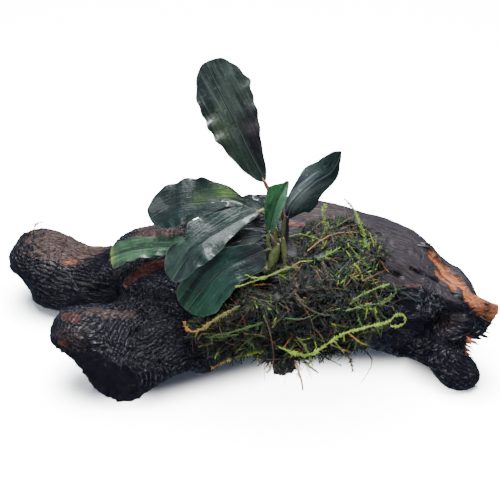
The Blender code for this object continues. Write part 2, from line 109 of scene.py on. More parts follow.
# Cracks: their route over the wood, width and depth
CRACKS = [
    ([(39.1, 12.1, 54.5), (35.2, 5.4, 56.2), (31.4, 0.1, 57.1)], 0.5, 1.3),
    ([(40, 3, 55.3), (44.7, 1.7, 53.8), (49, 1.2, 52)], 0.6, 1.2),
    ([(46, -17, 50.3), (50.6, -17.1, 48.2), (54, -16.7, 46.5)], 0.8, 1.8),
    ([(58.5, -11.5, 45.8), (64.5, -11, 42.8), (70, -10.6, 39.4)], 0.6, 2.0),
    ([(70, -10.6, 39.4), (75, -13.5, 36.6), (79, -14.5, 33)], 0.7, 1.6),
    ([(-76, 27, 28), (-66, 26, 27), (-58, 21, 30)], 0.6, 1.2),
    ([(-60, -21, 34), (-50, -21, 33), (-40, -19, 33)], 0.5, 1.2),
    ([(-33, -22, 36), (-44, -30, 29), (-54, -33, 24)], 0.6, 1.4),
]
PITTED = [(42, 0, 53.5), (54, -1.3, 49.5), (64, -4.2, 45)]      # strip of rough bark along the top
BARK_EDGE = [(48, -24, 46), (56.1, -19.2, 43.4), (62.6, -16.2, 41.3), (66.7, -16.5, 38.7),
             (72.4, -17.4, 35.6), (80, -15.4, 32)]              # where the top bark ends over the black side
# Places where the surface is worn back from the solids: middle, half sizes, and the move there
WORN = [
    ((-31, -28, 3), (17, 15, 14), (0, 6, 4)),
    ((-63, -27, 6), (9, 12, 9), (3, 0, 2)),
    ((-94, 26, 12), (9, 11, 9), (3.6, 1, 0)),
    ((64, -20, 5), (15, 12, 11), (0, 4, 4.2)),
    ((77, 0, 39), (12, 12, 8), (-0.5, 0, -2.0)),
]
# Lines that the ridges of the limbs run along: how each limb's grain flows
FLOWS = [
    [(-89.4, 26.7, 29.1), (-84.7, 25.4, 29), (-76.9, 25.2, 26.2), (-66.2, 20, 25.9), (-54.7, 11.7, 32.8)],
    [(-43.1, -38.2, 16.5), (-45, -37.2, 22.4), (-41.4, -32.4, 27.7), (-32.7, -25.5, 31.3), (-23.4, -25.6, 38.3)],
    [(81.8, -27.7, 6.7), (76.6, -27.2, 10.2), (68.8, -25.4, 15.5)],
]
FLOW_STEP = 1.6                 # from one of these ridges to the next
# Forms that stand out of the solids at their torn ends: x, y, z and radius along each
OUTGROWTHS = [
    [(76, -10, 33, 4), (84, -10.5, 29.8, 3.4), (90, -9.5, 26.6, 2.9), (93.6, -8, 24.2, 2.2)],
    [(74, -12, 25, 7), (82, -12.5, 22, 5.4), (87, -12, 20, 3.8), (90, -11.5, 19.5, 2)],
    [(72, -13, 20, 8), (79, -13.5, 17, 6.4), (82.5, -14.5, 15.5, 4)],
    [(70, -16, 13, 8), (77, -17, 11, 6.2), (80.5, -17.5, 10, 4)],
    [(80, -21, 6.5, 4), (82.6, -22, 5, 3)],
    [(-67, -24, 31, 3.4), (-62, -27, 30, 4)],
]

# Leaves: midrib, how far along with the left and right half widths, facing, fold in degrees, place of the
# stalk along and across the stem, waves of the margin, patches of other tones (how far along, across, their half
# sizes and colour; some tones are painted shadow, reflection and light, as marked), and colour
LEAVES = {
    "leaf_tall": {
        "midrib": [(4.8, -13, 85), (-1.4, -10, 97.1), (-5.9, -6, 105.7), (-10.5, -2, 113.6),
                   (-15, 1.3, 122.8)],
        "widths": [(0, 0.8, 0.8), (0.14, 5, 3.9), (0.36, 8.2, 7.4), (0.55, 9.2, 9.6), (0.7, 8.5, 10.6),
                   (0.8, 7.7, 10.2), (0.9, 5, 8.2), (0.975, 2.2, 5), (1, 0.5, 1.5)],
        "facing": (0.1, -0.93, 0.35), "fold": 8, "stalk": (0.97, -0.3), "waves": (6, 0.8, 0.3),
        "tones": [(0.34, 0.7, 0.2, 0.5, (0.0045, 0.0016, 0.0038)), (0.55, -0.6, 0.2, 0.35, (0.007, 0.011, 0.004)),
                  (0.85, 0, 0.3, 1.5, (0.013, 0.0185, 0.0155))],
        "colour": (0.0048, 0.0085, 0.0064),
    },
    "leaf_back_left": {
        "midrib": [(2.5, -10, 71), (-7.1, -8, 74), (-17.9, -5, 71.3), (-24.9, -3, 69.2), (-30.8, -2.5, 66.4),
                   (-36.2, -3.5, 62.8)],
        "widths": [(0, 0.8, 0.8), (0.1, 1.4, 1.6), (0.24, 3.5, 5.4), (0.38, 5.9, 8.8), (0.51, 7.4, 9.4),
                   (0.66, 8.6, 8.2), (0.83, 7.6, 6.2), (0.95, 4.6, 3.9), (1, 1.3, 1)],
        "facing": (0, -0.6, 0.8), "fold": 6, "stalk": (0.78, 0.9), "waves": (5, 0.6, 1.1),
        # the first tone is painted light: bright green where light shines through the blade
        "tones": [(0.22, 0.5, 0.07, 0.45, (0.02, 0.05, 0.004)), (0.4, 0.1, 0.09, 0.3, (0.014, 0.026, 0.01))],
        "colour": (0.0032, 0.0075, 0.0068),
    },
    "leaf_front_left": {
        "midrib": [(2.8, -17, 74.8), (-6.5, -22, 73.1), (-16.1, -27, 69.1), (-21.2, -30, 64.9),
                   (-26.4, -34, 57.6)],
        "widths": [(0, 0.8, 0.8), (0.11, 2.2, 3.6), (0.3, 4.4, 6.2), (0.4, 6.2, 8), (0.5, 6.9, 8.4),
                   (0.58, 6.8, 5.2), (0.66, 6.5, 5.2), (0.76, 5.6, 7.2), (0.86, 4.2, 6.4), (0.94, 2.8, 4.2),
                   (1, 0.9, 0.9)],
        "facing": (-0.1, -0.65, 0.75), "fold": 10, "stalk": (0.62, 0.3), "waves": (5, 0.8, 2.0),
        "colour": (0.0055, 0.0118, 0.0095),
    },
    "leaf_far_left": {
        "midrib": [(-15.9, -14, 60.5), (-25.4, -11, 56.7), (-34.8, -7, 53), (-45.5, -4, 49.2),
                   (-52, -2, 45.1)],
        "widths": [(0, 0.7, 0.7), (0.1, 1.9, 1.9), (0.35, 3.7, 3.7), (0.6, 4.3, 4.2), (0.8, 5.6, 4.4),
                   (0.93, 5.6, 3.6), (1, 1.5, 0.6)],
        "facing": (0, -0.55, 0.83), "fold": 12, "stalk": (0.2, 2.6), "waves": (7, 0.9, 0.0),
        "tones": [(0.97, 0, 0.06, 1.2, (0.06, 0.085, 0.025))],
        "colour": (0.015, 0.034, 0.0175),
    },
    "leaf_low": {
        "midrib": [(5, -27.5, 65.5), (-1.7, -28.7, 62.8), (-9.7, -30.5, 59.4), (-17.3, -32, 50.4),
                   (-21.9, -33, 43.8)],
        "widths": [(0, 0.8, 0.8), (0.05, 4, 3), (0.12, 5.5, 4.4), (0.22, 6, 5), (0.35, 6.6, 6.2), (0.55, 8, 7.5),
                   (0.75, 8.3, 7.8), (0.9, 6, 6.2), (0.97, 3.3, 3.6), (1, 0.6, 0.6)],
        "facing": (-0.1, -0.85, 0.5), "fold": 6, "stalk": (0.03, -1.2), "waves": (5, 0.5, 0.8),
        # the first tone is painted shadow: the blade's base darkened to near black
        "tones": [(0.1, 0, 0.36, 2.5, (0.0005, 0.0013, 0.0026)), (0.95, 0, 0.2, 2, (0.006, 0.024, 0.013))],
        "colour": (0.0046, 0.0185, 0.0125),
    },
    "leaf_young": {
        "midrib": [(6.6, -23, 70.1), (8.9, -21, 80.3), (12.9, -18, 88)],
        "widths": [(0, 0.5, 0.5), (0.2, 2.4, 2), (0.4, 3.9, 2.9), (0.6, 5.4, 2.7), (0.72, 5.8, 2.2), (0.8, 4, 1.7),
                   (0.88, 1.8, 1.1), (0.95, 0.8, 0.6), (1, 0.3, 0.3)],
        "facing": (0.1, -0.93, 0.35), "fold": 25, "stalk": (0.3, -0.4), "waves": (2, 0.3, 0.5),
        "tones": [(0.5, 0.7, 0.5, 0.6, (0.018, 0.046, 0.025))],
        "colour": (0.0055, 0.032, 0.0095),
    },
    "leaf_right": {
        "midrib": [(12.9, -17, 71.9), (13.9, -16.5, 76.8), (17.9, -15, 81.9), (22.3, -13.5, 85.1),
                   (27.4, -12, 87.9), (29.4, -11.5, 91.2), (30.9, -11, 95.5)],
        "widths": [(0, 0.6, 0.6), (0.05, 0.8, 3.4), (0.12, 1.2, 6.8), (0.24, 2.6, 8.4), (0.36, 4.2, 8.0),
                   (0.5, 5.6, 6.4), (0.65, 5.6, 4.2), (0.8, 5.2, 2.0), (0.92, 3.2, 1.0), (1, 0.3, 0.3)],
        "facing": (0.1, -0.95, 0.25), "fold": -16, "stalk": (0.5, -1.1), "waves": (3, 0.4, 1.3),
        # the first tone is a painted reflection: a pale silver sheen over the blade's left half
        "tones": [(0.34, -0.3, 0.2, 0.7, (0.045, 0.056, 0.054)), (0.05, 0, 0.06, 1.5, (0.002, 0.0014, 0.0028)),
                  (0.95, 0, 0.3, 1.5, (0.0035, 0.007, 0.007))],
        "colour": (0.0055, 0.0125, 0.0105),
    },
    "leaf_shaded": {
        "midrib": [(4.5, -20, 66.5), (0, -21, 67), (-5.3, -21.5, 65.5), (-10, -21.5, 62)],
        "widths": [(0, 0.6, 0.6), (0.3, 2.8, 2.8), (0.6, 3.6, 3.6), (0.85, 2.5, 2.5), (1, 0.4, 0.4)],
        "facing": (-0.1, -0.5, 0.85), "fold": 10, "stalk": (0.36, 1.0), "waves": (3, 0.3, 0.0),
        "colour": (0.0009, 0.003, 0.0036),
    },
    "leaf_rear": {
        "midrib": [(7.5, -6.5, 67), (3, -1, 67.5), (-1, 3, 66.8), (-4, 6, 64.6)],
        "widths": [(0, 0.6, 0.6), (0.3, 2.2, 2.2), (0.6, 2.7, 2.7), (0.85, 1.8, 1.8), (1, 0.4, 0.4)],
        "facing": (-0.2, -0.4, 0.9), "fold": 8, "stalk": (0.88, 1.1), "waves": (3, 0.2, 0.0),
        "colour": (0.0014, 0.0045, 0.0046),
    },
}
STALK_COLOURS = {
    "leaf_tall": (0.05, 0.014, 0.009), "leaf_back_left": (0.014, 0.018, 0.007), "leaf_front_left": (0.05, 0.048, 0.018),
    "leaf_far_left": (0.02, 0.025, 0.009), "leaf_low": (0.007, 0.011, 0.004), "leaf_young": (0.022, 0.032, 0.01),
    "leaf_right": (0.0028, 0.0015, 0.0042), "leaf_shaded": (0.006, 0.007, 0.004), "leaf_rear": (0.006, 0.007, 0.004),
}

# Creeping stem: x, y and the height of its middle over the wood
RHIZOME = [(5.5, -27.5, 2.6), (7.0, -24.5, 2.6), (9.3, -19.5, 2.9), (11.3, -15.0, 3.3), (12.6, -12.0, 4.2)]

# Loose fronds of moss: route, half width of the leafy part, and colours of its foot and tip
FRONDS = {
    "right": ([(10, -41, 34), (20, -42.5, 31.5), (28, -42.5, 37.5), (33, -43, 42), (41, -42, 44), (47.7, -40, 44.4),
               (50.4, -39, 46.6), (53.6, -38, 45.4), (54, -38, 42.8), (51.6, -38.5, 41.2), (48.8, -38.5, 41.4)],
              1.2, "lime", "lime"),
    "side": ([(45, -35, 49), (48, -36, 52), (50.2, -36, 54.4), (49, -35, 57.5)], 0.9, "green", "olive"),
    "top": ([(38, -22, 58.5), (41, -16, 61.5), (38.7, -12, 67.3), (36.6, -9, 71.3), (33.3, -8, 74.5)], 1.4, "green",
            "lime"),
    "crest": ([(29.5, -19, 63), (28.2, -16, 66), (25.6, -14, 71.6), (26.3, -13, 75.1)], 1.4, "umber", "lime"),
    "middle": ([(17, -31, 61), (13, -33, 62.4), (4.1, -36, 60.4), (-1.7, -35, 61)], 1.1, "olive", "lime"),
    "left": ([(-3.4, -38, 50), (-12.2, -39, 44.6), (-18.3, -39.5, 40), (-22, -38, 39.5), (-23, -36, 41.5)], 1.4,
             "olive", "amber"),
    "low": ([(5, -39, 30.5), (-2.2, -37, 27), (-7.9, -36, 23.8), (-13.8, -36, 19.9)], 1.35, "lime", "amber"),
    "hanging": ([(16.2, -43, 40), (19.7, -42.5, 34.1), (22.4, -40, 24.5)], 1.1, "green", "lime"),
    "under": ([(31, -38, 33), (33.4, -36, 29), (36.3, -34, 22), (38, -31, 14)], 1.7, "umber", "tan"),
    "long": ([(40.4, -33, 26.8), (44.5, -32, 20.2), (43.6, -31, 13.5), (41.6, -29, 6.3)], 0.45, "umber", "green"),
}
BRANCH_SPRIG = ([(-88.9, 35, 29.5), (-88.3, 34.6, 33), (-86.8, 34, 35.8), (-84, 33, 37.6)], 1.1, "green", "lime")
# Fronds that lie along the cushion: their routes over it
LYING = [
    ([(20, -22.5, 62), (25, -20, 65), (31, -15, 64.5), (38, -13, 63.5), (43, -12, 62)], 0.3, "amber", "tan"),
    ([(13, -12, 60.5), (17.3, -12, 62), (22.2, -18.4, 65), (26, -20, 64.5)], 0.7, "lime", "olive"),
    ([(23, -27, 61.5), (28, -25.5, 63.5), (31.6, -21.5, 63)], 1.1, "green", "lime"),
    ([(39, -31, 55.5), (42.7, -29, 56), (48.5, -21, 53)], 0.3, "rust", "rust"),
    ([(42, -29, 55.5), (44, -30, 53), (47, -30, 50)], 0.3, "rust", "tan"),
    ([(9, -31, 58.5), (4.2, -33, 58), (-1.4, -35, 57), (-5, -36, 56.5)], 0.9, "green", "lime"),
    ([(14.7, -28, 59.5), (17.5, -27.5, 61), (21.6, -27.5, 61.5)], 0.35, "amber", "lime"),
    ([(4.2, -41, 45), (-1.7, -40.5, 42), (-7.7, -39.5, 39), (-13.4, -38.5, 37)], 1.0, "green", "olive"),
    ([(-4, -39, 38), (-10, -39, 37), (-16, -38, 36)], 0.8, "green", "green"),
    ([(35, -36.5, 51), (40.6, -33, 52), (45.4, -30, 52), (49, -27, 51)], 1.0, "green", "lime"),
    ([(33, -38.5, 48), (39, -37, 49), (46, -34, 48), (50, -30, 47)], 1.1, "green", "olive"),
    ([(36, -26, 59), (38, -27, 57.5), (39.5, -29.5, 54)], 1.0, "lime", "olive"),
    ([(5, -40.5, 47), (7, -42, 41), (8, -42, 34), (8.5, -41, 28)], 0.3, "tan", "rust"),
    ([(13, -40, 49), (10, -41, 46), (7.5, -41.5, 43)], 0.4, "umber", "tan"),
    ([(22, -39.5, 47), (17, -40.5, 46), (12, -41, 47)], 0.8, "deep", "green"),
    ([(30, -38.5, 46), (25, -40, 47.5), (20, -39.5, 50), (16, -38, 53)], 0.6, "umber", "tan"),
    ([(34, -40.5, 40), (38, -41, 36.5), (41, -40, 34)], 0.7, "amber", "lime"),
    ([(28, -42, 36), (32, -41.5, 33.5), (35, -40, 31)], 0.25, "tan", "amber"),
    ([(24, -40, 31), (29, -39, 26), (33, -36, 21)], 0.8, "deep", "olive"),
]
ROOTS = {
    "root_long": [(14.6, -30, 25), (17, -30, 16.1), (19, -28, 8), (20.1, -27, 1.2)],
    "root_middle": [(20.6, -27, 15), (22.5, -27, 12.5), (25.5, -27, 9.5)],
    "root_short": [(9, -28, 20), (8, -28, 14.5), (6.5, -27, 9.5)],
}
MOSS_COLOURS = {
    "lime": (0.118, 0.185, 0.011), "green": (0.024, 0.06, 0.009), "olive": (0.045, 0.06, 0.012),
    "deep": (0.0052, 0.013, 0.0075), "black": (0.0022, 0.004, 0.0048), "tan": (0.065, 0.04, 0.022),
    "umber": (0.016, 0.0095, 0.0075), "amber": (0.2, 0.085, 0.013), "rust": (0.07, 0.022, 0.015),
}


# Shapes shared by the pieces

def placed(points):
    """Millimetres of the design as metres in the frame."""
    return (np.asarray(points, float) - (*BOX_CENTRE, 0)) * MM


def in_design(points):
    """Metres in the frame as millimetres of the design."""
    return np.asarray(points, float) / MM + (*BOX_CENTRE, 0)


def spline(rows, steps):
    """The rows, run through smoothly with some steps between each two."""
    rows = np.asarray(rows, float)
    made = []
    for i in range(len(rows) - 1):
        a, b, c, d = rows[max(i - 1, 0)], rows[i], rows[i + 1], rows[min(i + 2, len(rows) - 1)]
        for t in np.arange(steps) / steps:
            made.append(0.5 * (2 * b + (c - a) * t + (2 * a - 5 * b + 4 * c - d) * t * t
                               + (3 * b - a - 3 * c + d) * t ** 3))
    return np.array(made + [rows[-1]])


def unit(vectors):
    vectors = np.asarray(vectors, float)
    return vectors / np.maximum(np.linalg.norm(vectors, axis=-1, keepdims=True), 1e-12)


def smoothstep(low, high, value):
    share = np.clip((value - low) / (high - low), 0, 1)
    return share * share * (3 - 2 * share)


def noise(points, seed=0):
    """Smooth noise, about -1 to 1, at each row of points."""
    points = np.asarray(points, float)
    cell = np.floor(points).astype(np.int64)
    part = points - cell
    fade = part ** 3 * (part * (part * 6 - 15) + 10)
    total = np.zeros(len(points))
    for corner in product((0, 1), repeat=3):
        x, y, z = (cell + corner).T
        mixed = (x * 73856093) ^ (y * 19349663) ^ (z * 83492791) ^ (seed * 2654435761)
        mixed = ((mixed ^ (mixed >> 13)) * 1274126177) & 0x7FFFFFFF
        slopes = np.stack([(mixed >> s & 255) / 127.5 - 1 for s in (0, 8, 16)], 1)
        weight = np.prod(np.where(corner, fade, 1 - fade), axis=1)
        total += weight * np.sum(slopes * (part - corner), axis=1)
    return total * 1.6


def noises(points, seed):
    """Three noises, as the parts of a move of each point."""
    return np.stack([noise(points, seed + k) for k in range(3)], 1)


def run_along(path):
    """How far each point of a path lies along it."""
    return np.concatenate([[0], np.cumsum(np.linalg.norm(np.diff(path, axis=0), axis=1))])


def interpolated(shares, marks, rows):
    """The rows that belong to some shares, where the given rows lie at the marks."""
    return np.stack([np.interp(shares, marks, column) for column in rows.T], 1)


def deselect():
    for obj in bpy.context.selected_objects:
        obj.select_set(False)


def pick(*objects):
    """Only these are selected, and the first is active."""
    deselect()
    for obj in objects:
        obj.hide_viewport = False
        obj.select_set(True)
    bpy.context.view_layer.objects.active = objects[0]


def linked(name, mesh):
    """An object for a mesh, in the scene."""
    obj = bpy.data.objects.new(name, mesh)
    bpy.context.scene.collection.objects.link(obj)
    return obj


def smooth(obj):
    pick(obj)
    bpy.ops.object.shade_smooth()
    return obj


def pattern_of(obj):
    """An object's points, where it stands, and its faces; the object goes."""
    bpy.context.view_layer.update()
    turned = np.array(obj.matrix_world)
    points = points_of(obj) @ turned[:3, :3].T + turned[:3, 3]
    faces = [tuple(face.vertices) for face in obj.data.polygons]
    bpy.data.objects.remove(obj)
    return points, faces


def new_piece(name, points, faces):
    """A mesh object in the frame's metres."""
    mesh = bpy.data.meshes.new(name)
    mesh.from_pydata(points.tolist(), [], faces.tolist() if isinstance(faces, np.ndarray) else faces)
    return smooth(linked(name, mesh))


def copy_of(name, *nodes):
    """The CAD nodes' meshes in one new, merged object."""
    twins = [linked(name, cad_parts[node].data.copy()) for node in nodes]
    pick(*twins)
    if len(twins) > 1:
        bpy.ops.object.join()
    edit(twins[0], lambda: bpy.ops.mesh.remove_doubles(threshold=1e-6))
    twins[0].data.materials.clear()
    return twins[0]


def edit(obj, work):
    """Runs edit-mode work on all of an object's mesh."""
    pick(obj)
    bpy.ops.object.mode_set(mode="EDIT")
    bpy.ops.mesh.select_all(action="SELECT")
    work()
    bpy.ops.object.mode_set(mode="OBJECT")


def modify(obj, kind, **settings):
    """Adds a modifier and applies it."""
    change = obj.modifiers.new(kind.lower(), kind)
    for name, value in settings.items():
        setattr(change, name, value)
    pick(obj)
    bpy.ops.object.modifier_apply(modifier=change.name)
    return obj


def rows_of(items, name):
    """Three numbers that each of a mesh's items has, as rows."""
    flat = np.zeros(len(items) * 3, np.float32)
    items.foreach_get(name, flat)
    return flat.reshape(-1, 3).astype(float)


def remesh(obj, size, rounds=0):
    """Meshes the outside of an object anew, and smooths it."""
    modify(obj, "REMESH", mode="VOXEL", voxel_size=size)
    if rounds:
        modify(obj, "SMOOTH", factor=0.5, iterations=rounds)


def points_of(obj):
    return rows_of(obj.data.vertices, "co")


def normals_of(obj):
    return rows_of(obj.data.vertex_normals, "vector")


def set_points(obj, points):
    obj.data.vertices.foreach_set("co", points.astype(np.float32).ravel())
    obj.data.update()


def mark(obj, name, values):
    """Stores a value, or a row of three, on each point for the materials to read."""
    values = np.asarray(values, np.float32)
    kind = "FLOAT" if values.ndim == 1 else "FLOAT_VECTOR"
    layer = obj.data.attributes.new(name, kind, "POINT")
    layer.data.foreach_set("value" if values.ndim == 1 else "vector", values.ravel())


def tinted(obj, colours):
    mark(obj, "tint", colours)
    return obj


def tree_of(*objects):
    """A search tree over the faces of some objects, in metres."""
    points, faces = [], []
    for obj in objects:
        start = len(points)
        points += [v.co for v in obj.data.vertices]
        faces += [tuple(start + i for i in face.vertices) for face in obj.data.polygons]
    return BVHTree.FromPolygons(points, faces)


def wood_tree():
    return tree_of(*(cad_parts[name] for name in WOOD_NODES))


def dropped_on(tree, x, y):
    """Where a tree's faces are met from above at a place of the design, or None."""
    found = tree.ray_cast(Vector(placed((x, y, ABOVE))), Vector((0, 0, -1)))[0]
    return None if found is None else in_design(found)


def clear_of(tree, points, least):
    """The points, moved out to a least distance from the faces of a tree."""
    moved = []
    for point in points:
        near, normal, _, _ = tree.find_nearest(Vector(point))
        if (Vector(point) - near).dot(normal) < least:
            point = near + normal * least
        moved.append(tuple(point))
    return np.array(moved)


def frames_along(path):
    """The way along a path and two ways across it, at each of its points, without twist."""
    along = unit(np.gradient(path, axis=0))
    across = [unit(np.cross(along[0], (0.13, 0.2, 1)))]
    for way in along[1:]:
        across.append(unit(across[-1] - way * np.dot(across[-1], way)))
    across = np.array(across)
    return along, across, np.cross(along, across)


def tube(path, radii, sides):
    """Points and faces of a closed tube along a path."""
    path = np.asarray(path, float)
    radii = np.broadcast_to(radii, len(path))
    _, across, up = frames_along(path)
    turns = math.tau * np.arange(sides) / sides
    ring = across[:, None] * np.cos(turns)[None, :, None] + up[:, None] * np.sin(turns)[None, :, None]
    points = (path[:, None] + ring * radii[:, None, None]).reshape(-1, 3)
    faces = [
        (r * sides + i, r * sides + (i + 1) % sides, (r + 1) * sides + (i + 1) % sides, (r + 1) * sides + i)
        for r in range(len(path) - 1) for i in range(sides)
    ]
    last = (len(path) - 1) * sides
    return points, faces + [tuple(reversed(range(sides))), tuple(range(last, last + sides))]


def gather(parts):
    """Several points-and-faces pairs as one."""
    points, faces, start = [], [], 0
    for some, others in parts:
        points.append(some)
        faces += [tuple(start + i for i in face) for face in others]
        start += len(some)
    return np.concatenate(points), faces


def finish_piece(obj, material, slot=None, *nodes):
    """Gives a piece its material, its body and the CAD nodes that it stands for, which it hides; the slot is not used.
    """
    obj.data.materials.clear()
    obj.data.materials.append(material)
    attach(obj, BODY)
    if nodes:
        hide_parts(*nodes)
    return obj


# Materials

def signs_of(operation):
    """A Math node's operation as one of Python's signs, and that sign's reflected form."""
    return (lambda self, other: self.sign(operation, self, other),
            lambda self, other: self.sign(operation, other, self))


class Value:
    """A socket of a material's nodes, with Python's signs for its maths."""

    __add__, __radd__ = signs_of("ADD")
    __sub__, __rsub__ = signs_of("SUBTRACT")
    __mul__, __rmul__ = signs_of("MULTIPLY")
    __truediv__, __rtruediv__ = signs_of("DIVIDE")

    def __init__(self, finish, socket):
        self.finish = finish
        self.socket = socket

    def sign(self, operation, first, second=0.0):
        return self.finish.node("ShaderNodeMath", {"operation": operation}, {0: first, 1: second})

    def wave(self):
        """Its sine, moved and scaled to run from 0 to 1."""
        return self.sign("SINE", self) * 0.5 + 0.5

    def crest(self, sharpness):
        """1 where it passes its middle value, falling to 0 on both sides."""
        return (1 - self.sign("ABSOLUTE", self - 0.5) * sharpness).clamped()

    def clamped(self):
        return self.finish.node("ShaderNodeClamp", {}, {"Value": self})


class Finish:
    """A material, and the one way in which its nodes are made."""

    def __init__(self, name, **constants):
        self.material = bpy.data.materials.new(name)
        self.material.use_nodes = True
        self.tree = self.material.node_tree
        self.shader = self.tree.nodes["Principled BSDF"]
        for socket, value in constants.items():
            self.shader.inputs[socket.replace("_", " ")].default_value = value

    def node(self, kind, settings=None, values=None, output=0):
        """A node of some kind: its settings, the values or links of its sockets, and the output wanted."""
        made = self.tree.nodes.new(kind)
        for name, value in (settings or {}).items():
            setattr(made, name, value)
        for name, value in (values or {}).items():
            self.link(value, made.inputs[name])
        return Value(self, made.outputs[output])

    def link(self, value, socket):
        if isinstance(value, Value):
            self.tree.links.new(value.socket, socket)
        elif isinstance(value, tuple) and len(value) == 3 and socket.type == "RGBA":
            socket.default_value = (*value, 1)
        else:
            socket.default_value = value

    def feed(self, socket, value):
        self.link(value, self.shader.inputs[socket])

    def place(self):
        return self.node("ShaderNodeTexCoord", output="Object")

    def marked(self, name, colour=False):
        """A value, or a row of three, that the piece's points carry."""
        return self.node("ShaderNodeAttribute", {"attribute_name": name}, output="Vector" if colour else "Fac")

    def part_of(self, vector, axis):
        return self.node("ShaderNodeSeparateXYZ", {}, {0: vector}, axis)

    def vector(self, operation, first, second=None, output=0):
        values = {0: first} if second is None else {0: first, "Scale" if operation == "SCALE" else 1: second}
        return self.node("ShaderNodeVectorMath", {"operation": operation}, values, output)

    def scaled(self, vector, factors):
        return self.vector("MULTIPLY", vector, factors)

    def noise(self, vector, scale, detail=3.0, roughness=0.55):
        values = {"Vector": vector, "Scale": scale, "Detail": detail, "Roughness": roughness}
        return self.node("ShaderNodeTexNoise", {}, values)

    def spots(self, scale, detail, roughness=0.6):
        """Noise over the piece as it lies."""
        return self.noise(self.place(), scale, detail, roughness)

    def shaded(self, share, base, low, high):
        """A colour between two shades of a base."""
        return self.mix(share, self.scaled(base, low), self.scaled(base, high))

    def step(self, value, low, high):
        """0 under the low value, 1 over the high one, and smooth between."""
        settings = {"interpolation_type": "SMOOTHSTEP"}
        return self.node("ShaderNodeMapRange", settings, {"Value": value, "From Min": low, "From Max": high})

    def mix(self, share, first, second, blend="MIX"):
        settings = {"data_type": "RGBA", "blend_type": blend}
        return self.node("ShaderNodeMix", settings, {0: share, 6: first, 7: second}, output=2)

    def bump(self, height, distance, strength=1.0):
        """The shading of a relief, with its height in millimetres."""
        values = {"Height": height, "Distance": distance * MM, "Strength": strength}
        return self.node("ShaderNodeBump", {}, values)


def wet_wood():
    """Black wet wood, weathered paler on top, with red and orange inner wood where the bark is gone; painted shade
    darkens its grooves and cracks, and pale lines on its ridge crests are partly grain and partly painted glints.
    """
    finish = Finish("wet_driftwood", IOR=1.4, Specular_IOR_Level=0.17)
    grain, rings, end = finish.marked("grain", colour=True), finish.marked("rings"), finish.marked("end")
    bare, red, deep = finish.marked("bare"), finish.marked("red"), finish.marked("deep")
    pale, brown = finish.marked("pale"), finish.marked("brown")

    def fibre(along, across, detail=2.0, roughness=0.5):
        """Noise drawn out along the grain."""
        return finish.noise(finish.scaled(grain, (along, across, across)), 1.0, detail, roughness)

    fibres, streaks = fibre(0.16, 1.9, 4.0, 0.65), fibre(0.05, 0.4, 4.0, 0.6)
    blotches, grit, patches = finish.spots(120.0, 4.0), finish.spots(1300.0, 3.0, 0.65), finish.spots(48.0, 2.0, 0.5)
    strands, hairs = fibre(0.026, 0.5).crest(8.0), fibre(0.045, 1.15).crest(5.0)
    wave = (rings * (math.tau / FLOW_STEP) + fibres * 2.2).wave()
    # shown: the patches where the pale crest lines, partly painted glints, show
    shown = finish.step(patches, 0.4, 0.6) * 0.72 + 0.28
    broken = finish.step(fibres, 0.3, 0.58) * shown
    strands = strands * (1 - end * 0.5) + wave * wave * wave * end * broken * 0.8
    black = finish.mix(blotches, (0.001, 0.0012, 0.0024), (0.003, 0.0026, 0.0042))
    # pale lines on the ridge crests: partly grain, partly painted glints
    crest_grain_and_glints = finish.step(strands * (0.55 + blotches * 0.8), 0.6, 0.95) * shown
    black = finish.mix(crest_grain_and_glints * 0.85, black, (0.0185, 0.019, 0.0245))
    # faint pale lines on the finest crests, partly painted glints
    black = finish.mix(finish.step(hairs, 0.75, 1.0) * shown * 0.22, black, (0.012, 0.0115, 0.014))
    bark = finish.mix(finish.step(fibres, 0.32, 0.68), (0.0028, 0.0023, 0.0032), (0.017, 0.0135, 0.0165))
    bark = finish.mix(finish.step(streaks, 0.5, 0.75) * 0.5, bark, (0.022, 0.0125, 0.0115))
    bark = finish.mix(finish.step(grit, 0.56, 0.72) * 0.4, bark, (0.036, 0.032, 0.036))
    bark = finish.mix(finish.step(hairs, 0.7, 1.0) * 0.5, bark, (0.0022, 0.002, 0.0028))
    skin = finish.mix(pale, black, bark)
    split = finish.step(fibres, 0.35, 0.7)
    earth = finish.mix(split, (0.008, 0.0045, 0.004), (0.052, 0.031, 0.025))
    # the same pale crest lines, partly painted glints, over the brown patches
    earth = finish.mix(crest_grain_and_glints * 0.7, earth, (0.09, 0.06, 0.05))
    earth = finish.mix(finish.step(hairs, 0.6, 1.0) * 0.6, earth, (0.0035, 0.0025, 0.003))
    skin = finish.mix(brown, skin, earth)
    inner = finish.mix(split, (0.075, 0.02, 0.0065), (0.235, 0.08, 0.026))
    rust = finish.mix(split, (0.014, 0.003, 0.003), (0.055, 0.011, 0.009))
    inner = finish.mix(red, inner, rust)
    cuts = finish.step(fibre(0.014, 0.75), 0.56, 0.61)
    inner = finish.mix(cuts * 0.7, inner, (0.012, 0.0045, 0.003))
    colour = finish.mix(bare, skin, inner)
    # painted shade: deep darkens the grooves and cracks to near black
    finish.feed("Base Color", finish.mix(deep * 0.92, colour, (0.0008, 0.0009, 0.0017)))
    dry = pale * 0.3 + bare * 0.25 + brown * 0.25
    finish.feed("Roughness", (dry + 0.14 + (blotches - 0.5) * 0.3 + grit * 0.12).clamped())
    soft = 1 - pale * 0.65 - bare * 0.5
    relief = strands * soft * 0.95 + hairs * soft * shown * 0.25 + fibres * 0.25 + grit * 0.16
    finish.feed("Normal", finish.bump(relief, 0.75))
    return finish.material


